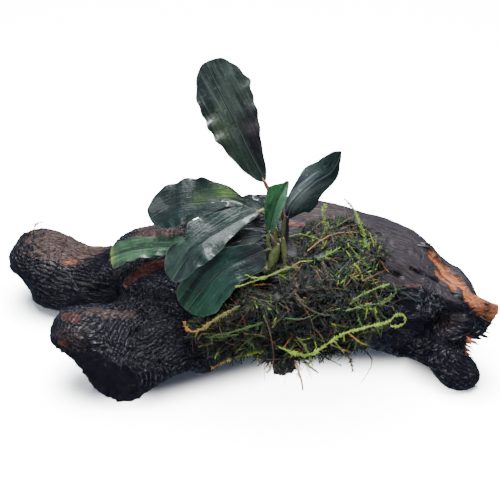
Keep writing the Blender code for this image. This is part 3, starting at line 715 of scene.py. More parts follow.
def leaf_skin():
    """Dark, leathery, wet leaf with faint lengthwise veins and a grooved midrib, with painted shade in the groove and a
    painted highlight along one side of it; paler below.
    """
    finish = Finish("leaf", Coat_Roughness=0.05, Coat_IOR=1.3, IOR=1.4, Specular_IOR_Level=0.22)
    tint, under = finish.marked("tint", colour=True), finish.marked("under")
    across, spread = finish.marked("across"), finish.marked("spread", colour=True)
    from_rib = finish.part_of(spread, "X")
    blotches, fine = finish.spots(130.0, 4.0), finish.spots(900.0, 3.0)
    bands = finish.noise(finish.scaled(spread, (0.42, 0.045, 1)), 1.0, 3.0, 0.55)
    streaks = finish.noise(finish.scaled(spread, (1.5, 0.1, 1)), 1.0, 3.0, 0.6)
    colour = finish.shaded(blotches, tint, (0.5, 0.55, 0.6), (1.6, 1.5, 1.4))
    colour = finish.mix(finish.step(bands, 0.6, 0.46) * 0.7, finish.scaled(tint, (0.28, 0.32, 0.4)), colour)
    colour = finish.mix(finish.step(streaks, 0.5, 0.72) * 0.55, colour, finish.scaled(tint, (2.4, 2.3, 2.2)))
    colour = finish.mix(finish.step(fine, 0.55, 0.75) * 0.45, colour, finish.scaled(tint, (3.0, 2.7, 2.5)))
    # painted shade: the midrib's groove darkened
    rib_groove_shade = 1 - finish.step(from_rib * from_rib, 0.02, 0.09)
    colour = finish.mix(rib_groove_shade * 0.8, colour, finish.scaled(tint, (0.2, 0.2, 0.2)))
    # painted highlight: a pale band along one side of the midrib
    rib_side_highlight = finish.step(from_rib, 0.2, 0.3) * (1 - finish.step(from_rib, 0.4, 0.55))
    colour = finish.mix(rib_side_highlight * 0.6, colour, (0.036, 0.048, 0.04))
    rim = finish.step(across, 0.965, 1.0)
    colour = finish.mix(rim * 0.6, colour, (0.035, 0.055, 0.035))
    below = finish.mix(blotches, (0.009, 0.012, 0.009), (0.02, 0.015, 0.017))
    finish.feed("Base Color", finish.mix(under, colour, below))
    lit = finish.step(finish.part_of(tint, "Y"), 0.0015, 0.006)
    finish.feed("Roughness", (0.22 + blotches * 0.3 + under * 0.1 + (1 - lit) * 0.4).clamped())
    finish.feed("Coat Weight", (finish.step(blotches, 0.52, 0.6) * (0.75 - under * 0.5) * lit).clamped())
    relief = streaks * 0.4 + fine * 0.25 + blotches * 0.5
    finish.feed("Normal", finish.bump(relief, 0.7))
    return finish.material


def stem_skin():
    """Smooth wet stalks, tinted stalk by stalk, with faint blotches."""
    finish = Finish("stem", IOR=1.4, Specular_IOR_Level=0.3)
    tint = finish.marked("tint", colour=True)
    blotches, fine = finish.spots(300.0, 3.0), finish.spots(1100.0, 3.0)
    colour = finish.shaded(blotches, tint, (0.4, 0.4, 0.4), (1.6, 1.6, 1.5))
    colour = finish.mix(finish.step(fine, 0.5, 0.7) * 0.5, colour, finish.scaled(tint, (2.2, 2.1, 1.9)))
    finish.feed("Base Color", colour)
    finish.feed("Roughness", 0.25 + blotches * 0.3)
    finish.feed("Normal", finish.bump(blotches + fine * 0.4, 0.5))
    return finish.material


def grown_skin(name, grain, low, high, rough, spread, relief, **constants):
    """A skin coloured by its points: its grain, its shades, its roughness and how that spreads, and its relief."""
    finish = Finish(name, **constants)
    shade = finish.spots(*grain)
    finish.feed("Base Color", finish.shaded(shade, finish.marked("tint", colour=True), low, high))
    finish.feed("Roughness", rough + shade * spread)
    finish.feed("Normal", finish.bump(shade, relief))
    return finish.material


def moss_skin(name, rough):
    return grown_skin(name, (600.0, 2.0), (0.55, 0.55, 0.55), (1.45, 1.45, 1.4), rough, 0.25, 0.25, IOR=1.36)


def root_skin():
    return grown_skin("root", (420.0, 4.0, 0.65), (0.4, 0.38, 0.35), (1.5, 1.5, 1.5), 0.4, 0.3, 0.6)


# Where a painted shadow darkens the floor's glow round the object: ends of each stretch, and how far it reaches from it
PAINTED_SHADOW = [((-60, -20), (-38, -17), 7), ((-38, -14), (-4, -1), 12), ((-4, -1), (60, 0), 6.5), ((60, 0), (83, -21), 3.5),
          ((-38, 12), (-84, 29), 8), ((-20, 4), (45, 12), 14)]


# The floor's glow is painted light: to the camera white far off and near black close to the object as a painted shadow;
# to the object a soft glow.
FLOOR_WHITE, FLOOR_SHADOW = (9.5, 9.5, 9.5), (0.02, 0.02, 0.024)     # its glow to the camera, far off and near
FLOOR_LIGHT = (1.6, 1.54, 1.44)                                     # its glow to the object


def plain_floor():
    """A white table that glows though it is no lamp, which is painted light, and that to the camera is painted near
    black round the object as its shadow.
    """
    finish = Finish("pale_floor", Emission_Strength=1.0)
    grain = finish.noise(finish.place(), 40.0, 2.0, 0.5)
    finish.feed("Base Color", finish.mix(grain, (0.9, 0.9, 0.9), (0.93, 0.93, 0.93)))
    finish.feed("Roughness", 0.6 + grain * 0.1)
    place = finish.place()
    away = None
    for start, end, reach in PAINTED_SHADOW:
        start, end = placed((*start, 0)), placed((*end, 0))
        run = end - start
        offset = finish.vector("SUBTRACT", place, tuple(start))
        share = finish.vector("DOT_PRODUCT", offset, tuple(run), "Value") / float(run @ run)
        near = finish.vector("SCALE", tuple(run), share.clamped())
        gap = finish.vector("LENGTH", finish.vector("SUBTRACT", offset, near), output="Value") * 1000.0 - reach
        away = gap if away is None else away.sign("MINIMUM", away, gap)
    # painted shadow: the glow falls to near black near the object's stretches
    glow = finish.step(away, -4.0, 14.0)
    glow = finish.mix(glow * glow, FLOOR_SHADOW, FLOOR_WHITE)
    seen = finish.node("ShaderNodeLightPath", output="Is Camera Ray")
    finish.feed("Emission Color", finish.mix(seen, FLOOR_LIGHT, glow))
    return finish.material


# Driftwood

AT_ONCE = 20000                 # points whose distances are held in memory together
OVER_SOLIDS = 0.35 * MM         # how far the skin is set out before it is meshed
FORM_MESH, FORM_ROUNDS = 0.8 * MM, 8        # mesh and smoothing of the joined forms, before the wear
SKIN_ROUNDS = 2                 # smoothing of the finer mesh that is carved


def grain_of(points):
    """Where points lie in the grain: along their limb and two ways across it."""
    total, weights = np.zeros((len(points), 3)), np.zeros(len(points))
    for name, stations in LIMBS.items():
        rows = spline(stations, 8)
        middle, size = rows[:, :3], np.maximum(rows[:, 3:], 2.0)
        along = unit(np.gradient(middle, axis=0))
        side = unit(np.cross((0, 0, 1), along))
        up = np.cross(along, side)
        run = run_along(middle)
        nearest = np.empty(len(points), int)
        for start in range(0, len(points), AT_ONCE):
            some = points[start:start + AT_ONCE, None]
            nearest[start:start + AT_ONCE] = np.argmin(np.sum((some - middle[None]) ** 2, axis=2), axis=1)
        offset = points - middle[nearest]
        past = np.sum(offset * along[nearest], axis=1)
        a, b = np.sum(offset * side[nearest], axis=1), np.sum(offset * up[nearest], axis=1)
        ratio = np.sqrt((a / size[nearest, 0]) ** 2 + (b / size[nearest, 1]) ** 2 + (past / 14) ** 4) + 0.05
        weight = ratio ** -6
        place = LIMB_START[name] + LIMB_WAY[name] * (run[nearest] + past)
        total += weight[:, None] * np.stack([place, a, b], 1)
        weights += weight
    return total / weights[:, None]


def away_from(points, route):
    """How far points lie from a route."""
    route = spline(route, 8)
    nearest = np.full(len(points), 1e9)
    for start, end in zip(route, route[1:]):
        way = end - start
        share = np.clip((points - start) @ way / (way @ way), 0, 1)
        nearest = np.minimum(nearest, np.linalg.norm(points - start - share[:, None] * way, axis=1))
    return nearest


def nearness(points, route, width):
    """1 on a route, falling to 0 at its width from it."""
    return np.clip(1 - away_from(points, route) / width, 0, 1)


def rings_of(points):
    """How far points lie from the lines that the ridges flow along, unevenly, and where those ridges show."""
    rings = np.min([away_from(points, route) for route in FLOWS], axis=0)
    rings = rings + 2.6 * noise(points * 0.07, 5) + 0.85 * noise(points * 0.2, 6) + 0.2 * noise(points * 0.6, 7)
    x, z = points[:, 0], points[:, 2]
    return rings, np.maximum(smoothstep(-14, -34, x), smoothstep(62, 72, x) * smoothstep(16, 10, z))


def patch(points, middle, size, ragged):
    """1 inside an egg-shaped patch with a ragged edge, 0 outside."""
    away = np.linalg.norm((points - middle) / size, axis=1)
    return smoothstep(1.12, 0.92, away + ragged)


def ridged(points, seed):
    """Noise with sharp crests: 1 along winding lines, falling off between them."""
    return 1 - np.minimum(np.abs(noise(points, seed)) * 2.2, 1)


def over_bark_edge(points):
    """How far points lie above the line where the weathered bark of the trunk's top ends."""
    edge = np.array(BARK_EDGE, float)
    limit_y, limit_z = interpolated(points[:, 0], edge[:, 0], edge[:, 1:]).T
    return (points[:, 2] - limit_z) * 0.8 + (points[:, 1] - limit_y) * 0.45


def wear(wood):
    """Moves the worn places of the surface."""
    here = in_design(points_of(wood))
    for middle, size, move in WORN:
        share = smoothstep(1.0, 0.25, np.linalg.norm((here - middle) / size, axis=1))
        here += share[:, None] * np.array(move)
    set_points(wood, placed(here))


def carve_wood(wood):
    """Ridges, fibres, knobs, cracks and lost bark, with what the material reads of them."""
    here = in_design(points_of(wood))
    normals = normals_of(wood)
    grain = grain_of(here)
    long_noise = noise(grain * (0.06, 0.6, 0.6), 2)
    ragged = 0.22 * long_noise + 0.2 * noise(grain * (0.12, 1.4, 1.4), 3)
    right = smoothstep(4, 20, here[:, 0] + 5 * noise(here * 0.09, 4))
    top = over_bark_edge(here) + 1.3 * noise(grain * (0.1, 0.5, 0.5), 9)
    bark = right * smoothstep(-0.35, 0.35, top) * smoothstep(-0.35, 0.1, normals[:, 2])
    rough = 1 - 0.85 * bark
    warped = grain + 2.4 * noises(grain * 0.07, 24)
    folds = ridged(warped * (0.018, 0.11, 0.11), 18)
    strands = ridged(warped * (0.026, 0.24, 0.24), 26)
    fibres = ridged(warped * (0.045, 0.55, 0.55), 27)
    rings, end = rings_of(here)
    wave = np.abs(2 * (rings / FLOW_STEP - np.floor(rings / FLOW_STEP)) - 1)
    swirl = np.clip(0.8 + 0.5 * noise(here * 0.08, 10), 0.3, 1.2)
    ridges = (0.6 * (strands ** 1.5 - 0.4) + 0.25 * (fibres - 0.5)) * (1 - 0.4 * end)
    ridges = (ridges + (0.36 * wave ** 1.7 - 0.12) * end) * swirl
    relief = 1.1 * (folds - 0.6) * (1 - 0.6 * bark) * (1 - 0.5 * end) + ridges * rough
    knobs = 1 - np.abs(noise(here * 0.32, 11)) - np.abs(noise(here * 0.66, 12)) * 0.6
    knobbly = smoothstep(8, -10, here[:, 0]) * smoothstep(-12, -22, here[:, 1]) * smoothstep(34, 24, here[:, 2])
    relief += 0.7 * (knobs - 0.55) * (0.15 + 0.85 * knobbly) * rough
    fine = 0.3 * noise(grain * (0.08, 0.8, 0.8), 13) + 0.2 * noise(grain * (0.18, 1.6, 1.6), 14)
    relief += fine * (1 - 0.4 * bark) + 0.14 * noise(here * 1.2, 15) * rough
    # deep is painted shade: near black in the low places of the relief
    deep = smoothstep(-0.4, -1.2, relief) * (1 - 0.6 * bark)
    relief += 0.7 * bark * right * smoothstep(84, 80, here[:, 0])
    bare, red = np.zeros(len(here)), np.zeros(len(here))
    for route, width, redness, depth, strength in BARE:
        inside = smoothstep(0.0, 0.16, nearness(here, route, width * 1.5) - 0.33 - ragged * 0.5)
        relief -= depth * inside
        inside = inside * strength
        red = np.where(inside > bare, redness, red)
        bare = np.maximum(bare, inside)
    strip = nearness(here, PITTED, 3.4) * (0.5 + 0.5 * noise(grain * (0.3, 0.9, 0.9), 16))
    relief -= 1.3 * strip * smoothstep(0.0, 0.5, noise(grain * (0.35, 1.3, 1.3), 17))
    for route, width, depth in CRACKS:
        cut = nearness(here + 0.6 * np.stack([long_noise] * 3, 1), route, width * 2.2)
        relief -= depth * cut ** 1.3
        # painted shade in the cracks as well
        deep = np.maximum(deep, smoothstep(0.15, 0.7, cut))
        bare = bare * (1 - 0.8 * smoothstep(0.1, 0.6, cut))
    brown = np.zeros(len(here))
    for middle, size, strength in BROWN:
        brown = np.maximum(brown, strength * patch(here, middle, size, ragged * 1.8))
    brown *= 0.3 + 0.7 * smoothstep(-0.1, 0.5, normals[:, 2])
    moved = here + normals * relief[:, None]
    moved[:, 2] = np.maximum(moved[:, 2], 0)
    set_points(wood, placed(moved))
    # deep carries the painted shade of the grooves and cracks to the material
    marks = {"grain": warped, "rings": rings, "end": end, "bare": bare, "red": red, "pale": bark, "brown": brown,
             "deep": np.clip(deep, 0, 1)}
    for name, values in marks.items():
        mark(wood, name, values)


def make_wood(settings):
    """The whole driftwood as one skin: the solids joined, rounded off and carved."""
    wood = copy_of("driftwood", *WOOD_NODES)
    forms = []
    for rows in OUTGROWTHS:
        path = spline(rows, 5)
        forms.append(new_piece("outgrowth", *tube(placed(path[:, :3]), path[:, 3] * MM, 12)))
    modify(wood, "DISPLACE", strength=OVER_SOLIDS, mid_level=0)
    pick(wood, *forms)
    bpy.ops.object.join()
    remesh(wood, FORM_MESH, FORM_ROUNDS)
    wear(wood)
    remesh(wood, settings.mesh, SKIN_ROUNDS)
    carve_wood(wood)
    wood.data.calc_loop_triangles()
    count = len(wood.data.loop_triangles)
    if count > settings.faces:
        modify(wood, "DECIMATE", ratio=settings.faces / count)
    return smooth(wood)


# Torn fibres: line of their feet, count, way they point, shortest and longest, width and tint
SPLINTERS = [
    ([(88, -13, 21.5), (84, -15, 17)], 14, (1, -0.1, -0.35), (2, 5), 2.3, (0.004, 0.003, 0.005)),
    ([(82.5, -16.5, 17), (82, -18.5, 9.5)], 15, (0.95, -0.15, -0.5), (1.5, 3.2), 1.7, (0.09, 0.014, 0.01)),
    ([(81.5, -17.5, 19.5), (83.5, -17, 16.5)], 4, (0.95, -0.1, -0.55), (3, 4.8), 2.2, (0.24, 0.06, 0.03)),
    ([(82.5, -26, 8), (84.5, -24.5, 2)], 14, (1, 0.0, -0.1), (1.2, 2.6), 2.2, (0.004, 0.0035, 0.0045)),
    ([(65, 5, 45.4), (67.5, 7, 44.2)], 5, (1, 0.2, -0.25), (3, 5), 3.0, (0.02, 0.016, 0.018)),
    ([(88, -13, 23), (91, -10, 21)], 7, (0.9, -0.1, -0.6), (1.5, 3.5), 1.2, (0.03, 0.01, 0.008)),
]


def make_splinters(rng):
    """Jagged fibres that stand out of the wood's torn right end."""
    deselect()
    bpy.ops.mesh.primitive_cone_add(vertices=5, radius1=0.5, radius2=0.1, depth=1.0, location=(0, 0, 0.5))
    pattern = bpy.context.object
    edit(pattern, lambda: bpy.ops.mesh.subdivide(number_cuts=1))
    points, faces = pattern_of(pattern)
    parts, tints = [], []
    for (start, end), count, way, (shortest, longest), width, tint in SPLINTERS:
        for k in range(count):
            share = (k + rng.uniform(0.2, 0.8)) / count
            foot = np.array(start) * (1 - share) + np.array(end) * share + rng.normal(0, 0.5, 3)
            along = unit(np.array(way) + rng.normal(0, 0.13, 3))
            flat = unit(np.cross(along, (0, 1, 0.3)))
            thin = np.cross(along, flat)
            length, wide = rng.uniform(shortest, longest), width * rng.uniform(0.6, 1.3)
            bent = points + 0.12 * points[:, 2:] ** 2 * rng.normal(0, 1, 2).tolist()[0] * np.array([[1, 0.4, 0]])
            shaped = (foot - along * 2 + along * bent[:, 2:] * (length + 2) + flat * bent[:, :1] * wide
                      + thin * bent[:, 1:2] * wide * 0.45)
            parts.append((placed(shaped), faces))
            tints.append(np.tile(np.array(tint) * rng.uniform(0.6, 1.4), (len(points), 1)))
    return tinted(new_piece("wood_splinters", *gather(parts)), np.concatenate(tints))


# Plant

BLADE_THICKNESS = 0.45 * MM
CREASE = math.radians(50)       # the sharpest turn that a blade's shading rounds off
STALK_THICKNESS = {"stalk_right": 1.4}      # times the others'
SCAR_STEP = 2.1                 # from one leaf scar of the creeping stem to the next


def stem_path():
    """The creeping stem's middle, laid over the wood as the solid is."""
    tree = wood_tree()
    return np.array([dropped_on(tree, x, y) + (0, 0, height) for x, y, height in spline(RHIZOME, 3)])


def stalk_path(leaf, stem):
    """A stalk's route from the creeping stem into the foot of its blade."""
    along, across = leaf["stalk"]
    spot = along * (len(stem) - 1)
    low = min(int(spot), len(stem) - 2)
    heading = Vector(unit(stem[low + 1] - stem[low]))
    sideways = Vector((0, 0, 1)).cross(heading).normalized()
    lean = Vector((0, 0, 1)) + sideways * across
    out = (lean - heading * lean.dot(heading)).normalized()
    foot = Vector(stem[low]).lerp(Vector(stem[low + 1]), spot - low) + out * 1.2
    first, second = (Vector(row) for row in leaf["midrib"][:2])
    run = (second - first).normalized()
    end = first - run * 1.3
    start = foot + out
    reach = (end - start).length
    places = interpolate_bezier(start, start + out * reach * 0.3, end - run * reach * 0.35, end, 20)
    return np.array([foot, *places, first, first + run * 1.2])


def make_blade(name, leaf, settings):
    """A blade: a grid set out along its midrib, waved at its margins, creased at its rib and given thickness."""
    rows, columns = settings.rows, settings.columns
    deselect()
    bpy.ops.mesh.primitive_grid_add(x_subdivisions=columns, y_subdivisions=rows, size=2)
    obj = bpy.context.object
    obj.name = name
    flat = points_of(obj)
    share = flat[:, 0]
    t = 0.5 - 0.5 * np.cos((flat[:, 1] + 1) * math.pi / 2)
    midrib = spline(leaf["midrib"], 24)
    marks = np.linspace(0, 1, len(midrib))
    middle = interpolated(t, marks, midrib)
    along = unit(interpolated(t, marks, unit(np.gradient(midrib, axis=0))))
    facing = unit(leaf["facing"])
    side = unit(np.cross(along, facing))
    out = np.cross(side, along)
    table = spline(leaf["widths"], 6)
    left, right = interpolated(t, table[:, 0], table[:, 1:]).T
    count, height, phase = leaf["waves"]
    width = np.where(share > 0, right, left)
    away = np.abs(share)
    turn = math.tau * count * t + phase + np.where(share > 0, 1.9, 0)
    edge = np.stack([t * count * 1.3 + phase, np.sign(share) * 3.3, np.full(len(t), 0.7)], 1)
    uneven = noise(edge, 33)
    width = width * (1 + (0.03 * np.sin(turn * 1.3 + 1) + 0.05 * uneven) * away)
    fold = math.radians(leaf["fold"])
    ends = np.sin(np.clip(t, 0, 1) * math.pi) ** 0.6
    ripple = height * (0.7 * np.sin(turn) + 1.1 * uneven) * away ** 2.4 * ends
    offset = width * share
    rise = np.abs(offset) * math.sin(fold) + ripple
    rise -= 0.3 * np.exp(-(offset / 0.5) ** 2) * ends
    spots = middle + side * offset[:, None]
    rise += (0.5 * noise(spots * 0.13, 21) + 0.12 * noise(spots * 0.5, 23)) * ends
    points = middle + side * offset[:, None] * math.cos(fold) + out * rise[:, None]
    set_points(obj, placed(points))
    reach = np.linalg.norm(np.diff(midrib, axis=0), axis=1).sum()
    mark(obj, "across", away)
    mark(obj, "spread", np.stack([offset, t * reach, np.full(len(t), phase * 9)], 1))
    tint = np.tile(leaf["colour"], (len(t), 1))
    # tones are the blades' own colours, and some are painted shadow, reflection and light, as marked in LEAVES
    for spot, hand, long, wide, tone in leaf.get("tones", ()):
        near = np.exp(-((t - spot) / long) ** 2 - ((share - hand) / wide) ** 2)[:, None]
        tint = tint * (1 - near) + np.array(tone) * near
    mark(obj, "tint", tint * (1 + 0.3 * noise(points * 0.09, 22)[:, None]))
    single = len(flat)
    if np.sum(normals_of(obj) * out) < 0:
        edit(obj, lambda: bpy.ops.mesh.flip_normals())
    modify(obj, "SOLIDIFY", thickness=BLADE_THICKNESS, offset=0)
    mark(obj, "under", (np.arange(len(obj.data.vertices)) >= single).astype(float))
    pick(obj)
    bpy.ops.object.shade_smooth_by_angle(angle=CREASE)
    return obj


def make_stalk(name, path, colour):
    """A stalk that thickens to its foot, where its sheath clasps the stem."""
    share = np.linspace(0, 1, len(path))
    thick = STALK_THICKNESS.get(name, 1)
    radii = (0.72 + 0.5 * (1 - share) ** 3) * thick - 0.42 * smoothstep(0.9, 1, share)
    obj = new_piece(name, *tube(placed(path), radii * MM, 10))
    return tinted(obj, np.repeat(np.outer(0.8 + 0.35 * share, colour), 10, axis=0))


def make_rhizome(stem):
    """The creeping stem, ringed by the scars of fallen leaves, with a blunt tip."""
    path = spline(stem, 6)
    share = np.linspace(0, 1, len(path))
    rings = np.abs(np.sin(run_along(path) * math.pi / SCAR_STEP)) ** 6
    radii = (1.75 + 0.22 * rings) * np.sqrt(np.clip(1 - (2 * share - 1) ** 12, 0.12, 1))
    obj = new_piece("creeping_stem", *tube(placed(path), radii * MM, 20))
    return tinted(obj, np.repeat(np.outer(1 - 0.6 * rings, (0.05, 0.048, 0.02)), 20, axis=0))


# Scale leaves round the stalks' feet: foot, tip, half width, how far each bulges, and tint
SHEATHS = [
    ((9.9, -27, 68.6), (6.4, -29.3, 59.2), 1.75, 0.8, (0.021, 0.027, 0.0085)),
    ((11.4, -27, 71.1), (12.1, -28.8, 60.6), 1.05, 0.7, (0.026, 0.029, 0.01)),
    ((11.9, -24, 78), (10.9, -26, 67.4), 0.75, 0.5, (0.015, 0.017, 0.0065)),
    ((6.7, -26, 71.8), (9.4, -27.8, 67.5), 0.8, 0.5, (0.018, 0.013, 0.0075)),
]


def make_sheaths():
    """Olive scale leaves that wrap the feet of the stalks."""
    rows, columns = 16, 9
    parts, tints = [], []
    for foot, tip, half, bulge, tint in SHEATHS:
        foot, tip = np.array(foot, float), np.array(tip, float)
        along = unit(tip - foot)
        side = unit(np.cross(along, (0, -1, 0.2)))
        out = np.cross(side, along)
        front = []
        for i in range(rows + 1):
            t = i / rows
            wide = half * math.sin(math.pi * (0.04 + 0.92 * t ** 0.85)) ** 0.75
            for j in range(columns + 1):
                turn = (2 * j / columns - 1) * 1.25
                front.append(foot + (tip - foot) * t + side * wide * math.sin(turn)
                             + out * (wide * (math.cos(turn) - 0.3) + bulge * math.sin(t * 2.6) * 0.5))
        sheet = np.array(front)
        back = sheet - np.tile(out * 0.3, (len(sheet), 1))
        wide_row = columns + 1
        faces = []
        count = len(sheet)
        for i in range(rows):
            for j in range(columns):
                a, b = i * wide_row + j, i * wide_row + j + 1
                c, d = b + wide_row, a + wide_row
                faces += [(a, b, c, d), (count + d, count + c, count + b, count + a)]
        border = ([*range(columns)] + [i * wide_row + columns for i in range(rows)]
                  + [rows * wide_row + j for j in range(columns, 0, -1)] + [i * wide_row for i in range(rows, 0, -1)])
        for a, b in zip(border, border[1:] + border[:1]):
            faces.append((b, a, count + a, count + b))
        parts.append((placed(np.concatenate([sheet, back])), faces))
        tone = np.tile(np.linspace(0.7, 1.35, rows + 1).repeat(wide_row)[:, None] * np.array(tint), (2, 1))
        tints.append(tone)
    obj = new_piece("stem_sheaths", *gather(parts))
    edit(obj, lambda: bpy.ops.mesh.normals_make_consistent(inside=False))
    return tinted(obj, np.concatenate(tints))


# Moss

MAT_MESH, KNOB_MESH = 0.7 * MM, 0.45 * MM
OVER_WOOD = 0.6 * MM            # a crust's outer side is at least this far from the wood
LEAFLET_STEP, BARE_STEP = 0.24, 0.8         # between the leaflets of a leafy and of a bare frond


def leaflet():
    """One moss leaflet, pointing along X: a flat three-sided cone of unit length."""
    deselect()
    bpy.ops.mesh.primitive_cone_add(vertices=3, radius1=0.3, radius2=0, depth=1, location=(0.5, 0, 0),
                                    rotation=(0, math.pi / 2, 0))
    points, faces = pattern_of(bpy.context.object)
    return points * (1, 1, 0.35), faces


def shoot():
    """A leafy shoot of unit length along X: a three-sided stem with small leaflets in two rows."""
    deselect()
    bpy.ops.mesh.primitive_cylinder_add(vertices=3, radius=0.03, depth=1, location=(0.5, 0, 0),
                                        rotation=(0, math.pi / 2, 0))
    stem = bpy.context.object
    edit(stem, cut_stem)
    bpy.ops.object.mode_set(mode="EDIT")
    leaflets = 16
    for k in range(leaflets):
        share = 0.06 + 0.88 * k / (leaflets - 1)
        hand = 1 if k % 2 else -1
        length = 0.26 * (1.05 - 0.5 * share)
        turn = hand * math.radians(50 - 16 * share)
        middle = (share + math.cos(turn) * length / 2, math.sin(turn) * length / 2, 0.03 * (k % 3 - 1))
        bpy.ops.mesh.primitive_cone_add(vertices=3, radius1=length * 0.3, radius2=0, depth=length,
                                        location=middle, rotation=(0, math.pi / 2, turn), scale=(0.4, 1, 1))
    bpy.ops.object.mode_set(mode="OBJECT")
    return pattern_of(stem)


def cut_stem():
    for share in (0.25, 0.5, 0.75):
        bpy.ops.mesh.select_all(action="SELECT")
        bpy.ops.mesh.bisect(plane_co=(share, 0, 0), plane_no=(1, 0, 0))
    bpy.ops.mesh.select_all(action="DESELECT")


def thread():
    """A bare moss stem of unit length along X, with points enough to bend."""
    path = np.stack([np.linspace(0, 1, 8), np.zeros(8), np.zeros(8)], 1)
    return tube(path, 0.5 - 0.25 * np.linspace(0, 1, 8), 3)


def copies(pattern, feet, along, across, up, lengths, widths, bends):
    """The pattern set at each foot, sized, turned to its own ways and bent; and how far along each point is."""
    points, faces = pattern
    u, v, w = points[:, 0], points[:, 1], points[:, 2]
    lengths, widths = np.asarray(lengths)[:, None, None], np.asarray(widths)[:, None, None]
    made = (feet[:, None] + along[:, None] * u[None, :, None] * lengths
            + across[:, None] * v[None, :, None] * widths + up[:, None] * w[None, :, None] * widths
            + bends[:, None] * (u ** 2)[None, :, None])
    count = len(feet)
    sizes = np.array([len(face) for face in faces])
    flat = np.concatenate([np.array(face) for face in faces])
    all_flat = (flat[None] + (np.arange(count) * len(points))[:, None]).ravel()
    return made.reshape(-1, 3), (all_flat, np.tile(sizes, count)), np.tile(u, count)


def big_piece(name, parts):
    """One mesh object from many copies: points in the design, and faces as one long row with their sizes."""
    points = placed(np.concatenate([part[0] for part in parts]))
    corners, sizes, start = [], [], 0
    for some, (flat, counts), _ in parts:
        corners.append(flat + start)
        sizes.append(counts)
        start += len(some)
    corners, sizes = np.concatenate(corners), np.concatenate(sizes)
    mesh = bpy.data.meshes.new(name)
    mesh.vertices.add(len(points))
    mesh.vertices.foreach_set("co", points.astype(np.float32).ravel())
    mesh.loops.add(len(corners))
    mesh.loops.foreach_set("vertex_index", corners.astype(np.int32))
    mesh.polygons.add(len(sizes))
    mesh.polygons.foreach_set("loop_start", np.concatenate([[0], np.cumsum(sizes)[:-1]]).astype(np.int32))
    mesh.update(calc_edges=True)
    mesh.validate()
    return linked(name, mesh)


def toned_copies(name, part, tones):
    """One piece from copies of a pattern, each in a tone of its own."""
    return tinted(big_piece(name, [part]), np.repeat(tones, len(part[0]) // len(tones), axis=0))


def spots_on(obj, count, rng, wood):
    """Places spread over the outer side of a crust, with the way out of it there."""
    mesh = obj.data
    mesh.calc_loop_triangles()
    corners = points_of(obj)[np.array([t.vertices[:] for t in mesh.loop_triangles])]
    cross = np.cross(corners[:, 1] - corners[:, 0], corners[:, 2] - corners[:, 0])
    area = np.linalg.norm(cross, axis=1)
    normal = cross / np.maximum(area, 1e-20)[:, None]
    middle = corners.mean(axis=1)
    outer = np.array([is_outer(wood, m, n) for m, n in zip(middle, normal)])
    chance = area * outer
    chosen = rng.choice(len(area), count, p=chance / chance.sum())
    r1, r2 = np.sqrt(rng.random(count)), rng.random(count)
    shares = np.stack([1 - r1, r1 * (1 - r2), r1 * r2], 1)
    return in_design(np.sum(corners[chosen] * shares[:, :, None], axis=1)), normal[chosen]


# Patches of thin moss that grow on the wood itself: x, y, their half sizes and count of shoots
THIN_MOSS = [(15.5, -18, 3.5, 9, 150), (10, -31, 7, 4, 70), (-16, -32, 6, 4, 45), (49, -28, 5, 8, 60)]


def spots_over(wood, rng):
    """Feet for the thin moss, dropped on the wood from above."""
    feet = []
    for x, y, wide, deep, count in THIN_MOSS:
        for _ in range(count):
            turn, out = rng.uniform(0, math.tau), math.sqrt(rng.random())
            foot = dropped_on(wood, x + wide * out * math.cos(turn), y + deep * out * math.sin(turn))
            if foot is not None:
                feet.append(foot)
    return np.array(feet)


def is_outer(wood, middle, normal):
    near = wood.find_nearest(Vector(middle))[0]
    away = Vector(middle) - near
    return 1.0 if away.length > OVER_WOOD and away.dot(Vector(normal)) > 0 else 0.0


# Where the moss is fresh: middle, half size, and how much of it
FRESH = [
    ((36, -15, 61), (9, 9, 6), 0.45),
    ((24, -22, 62), (9, 7, 4), 0.22),
    ((3, -36, 58), (9, 6, 4), 0.65),
    ((46, -32, 50), (8, 8, 7), 0.6),
    ((38, -28, 56), (7, 6, 5), 0.5),
    ((42, -40, 43), (10, 6, 4), 0.5),
    ((-8, -38, 39), (12, 8, 5), 0.4),
    ((8, -42, 33), (14, 6, 5), 0.12),
]


def freshness(points):
    fresh = np.full(len(points), 0.08)
    for middle, size, share in FRESH:
        away = np.sum(((points - middle) / size) ** 2, axis=1)
        fresh = np.maximum(fresh, share * np.exp(-away))
    return np.clip(fresh * (1 + 0.6 * noise(points * 0.17, 31)) + 0.05 * noise(points * 0.5, 32), 0, 1)


def moss_tints(fresh, draw):
    """Colours of the tips of some shoots, from how fresh the moss is where each grows."""
    less = [draw < fresh * share for share in (0.3, 0.85, 1.15)]
    more = [draw > share for share in (0.985, 0.94, 0.8, 0.45)]
    names = np.select(less + more, ["lime", "green", "olive", "amber", "tan", "umber", "black"], "deep")
    return np.array([MOSS_COLOURS[name] for name in names])


def ways_on(normals, feet, pull, rng, low, high):
    """A heading for each place: along the surface in tufts, lifted off it by some degrees."""
    heading = pull + noises(feet * 0.13, 81) * 2.2 + rng.normal(0, 0.45, normals.shape)
    heading = unit(heading - normals * np.sum(heading * normals, axis=1)[:, None])
    lift = np.radians(rng.uniform(low, high, len(normals)))[:, None]
    along = heading * np.cos(lift) + normals * np.sin(lift)
    across = unit(np.cross(along, normals) + 1e-6)
    return along, across, np.cross(across, along)


def held_in(tree, feet, along, lengths, least, room):
    """The lengths, cut so that no tip stands out of the cushion by more than some room."""
    kept = np.array(lengths)
    for i, (foot, way) in enumerate(zip(feet, along)):
        while kept[i] > least:
            tip = Vector(placed(foot + way * kept[i]))
            near, normal, _, _ = tree.find_nearest(tip)
            if (tip - near).dot(normal) < room[i] * MM:
                break
            kept[i] *= 0.85
    return kept


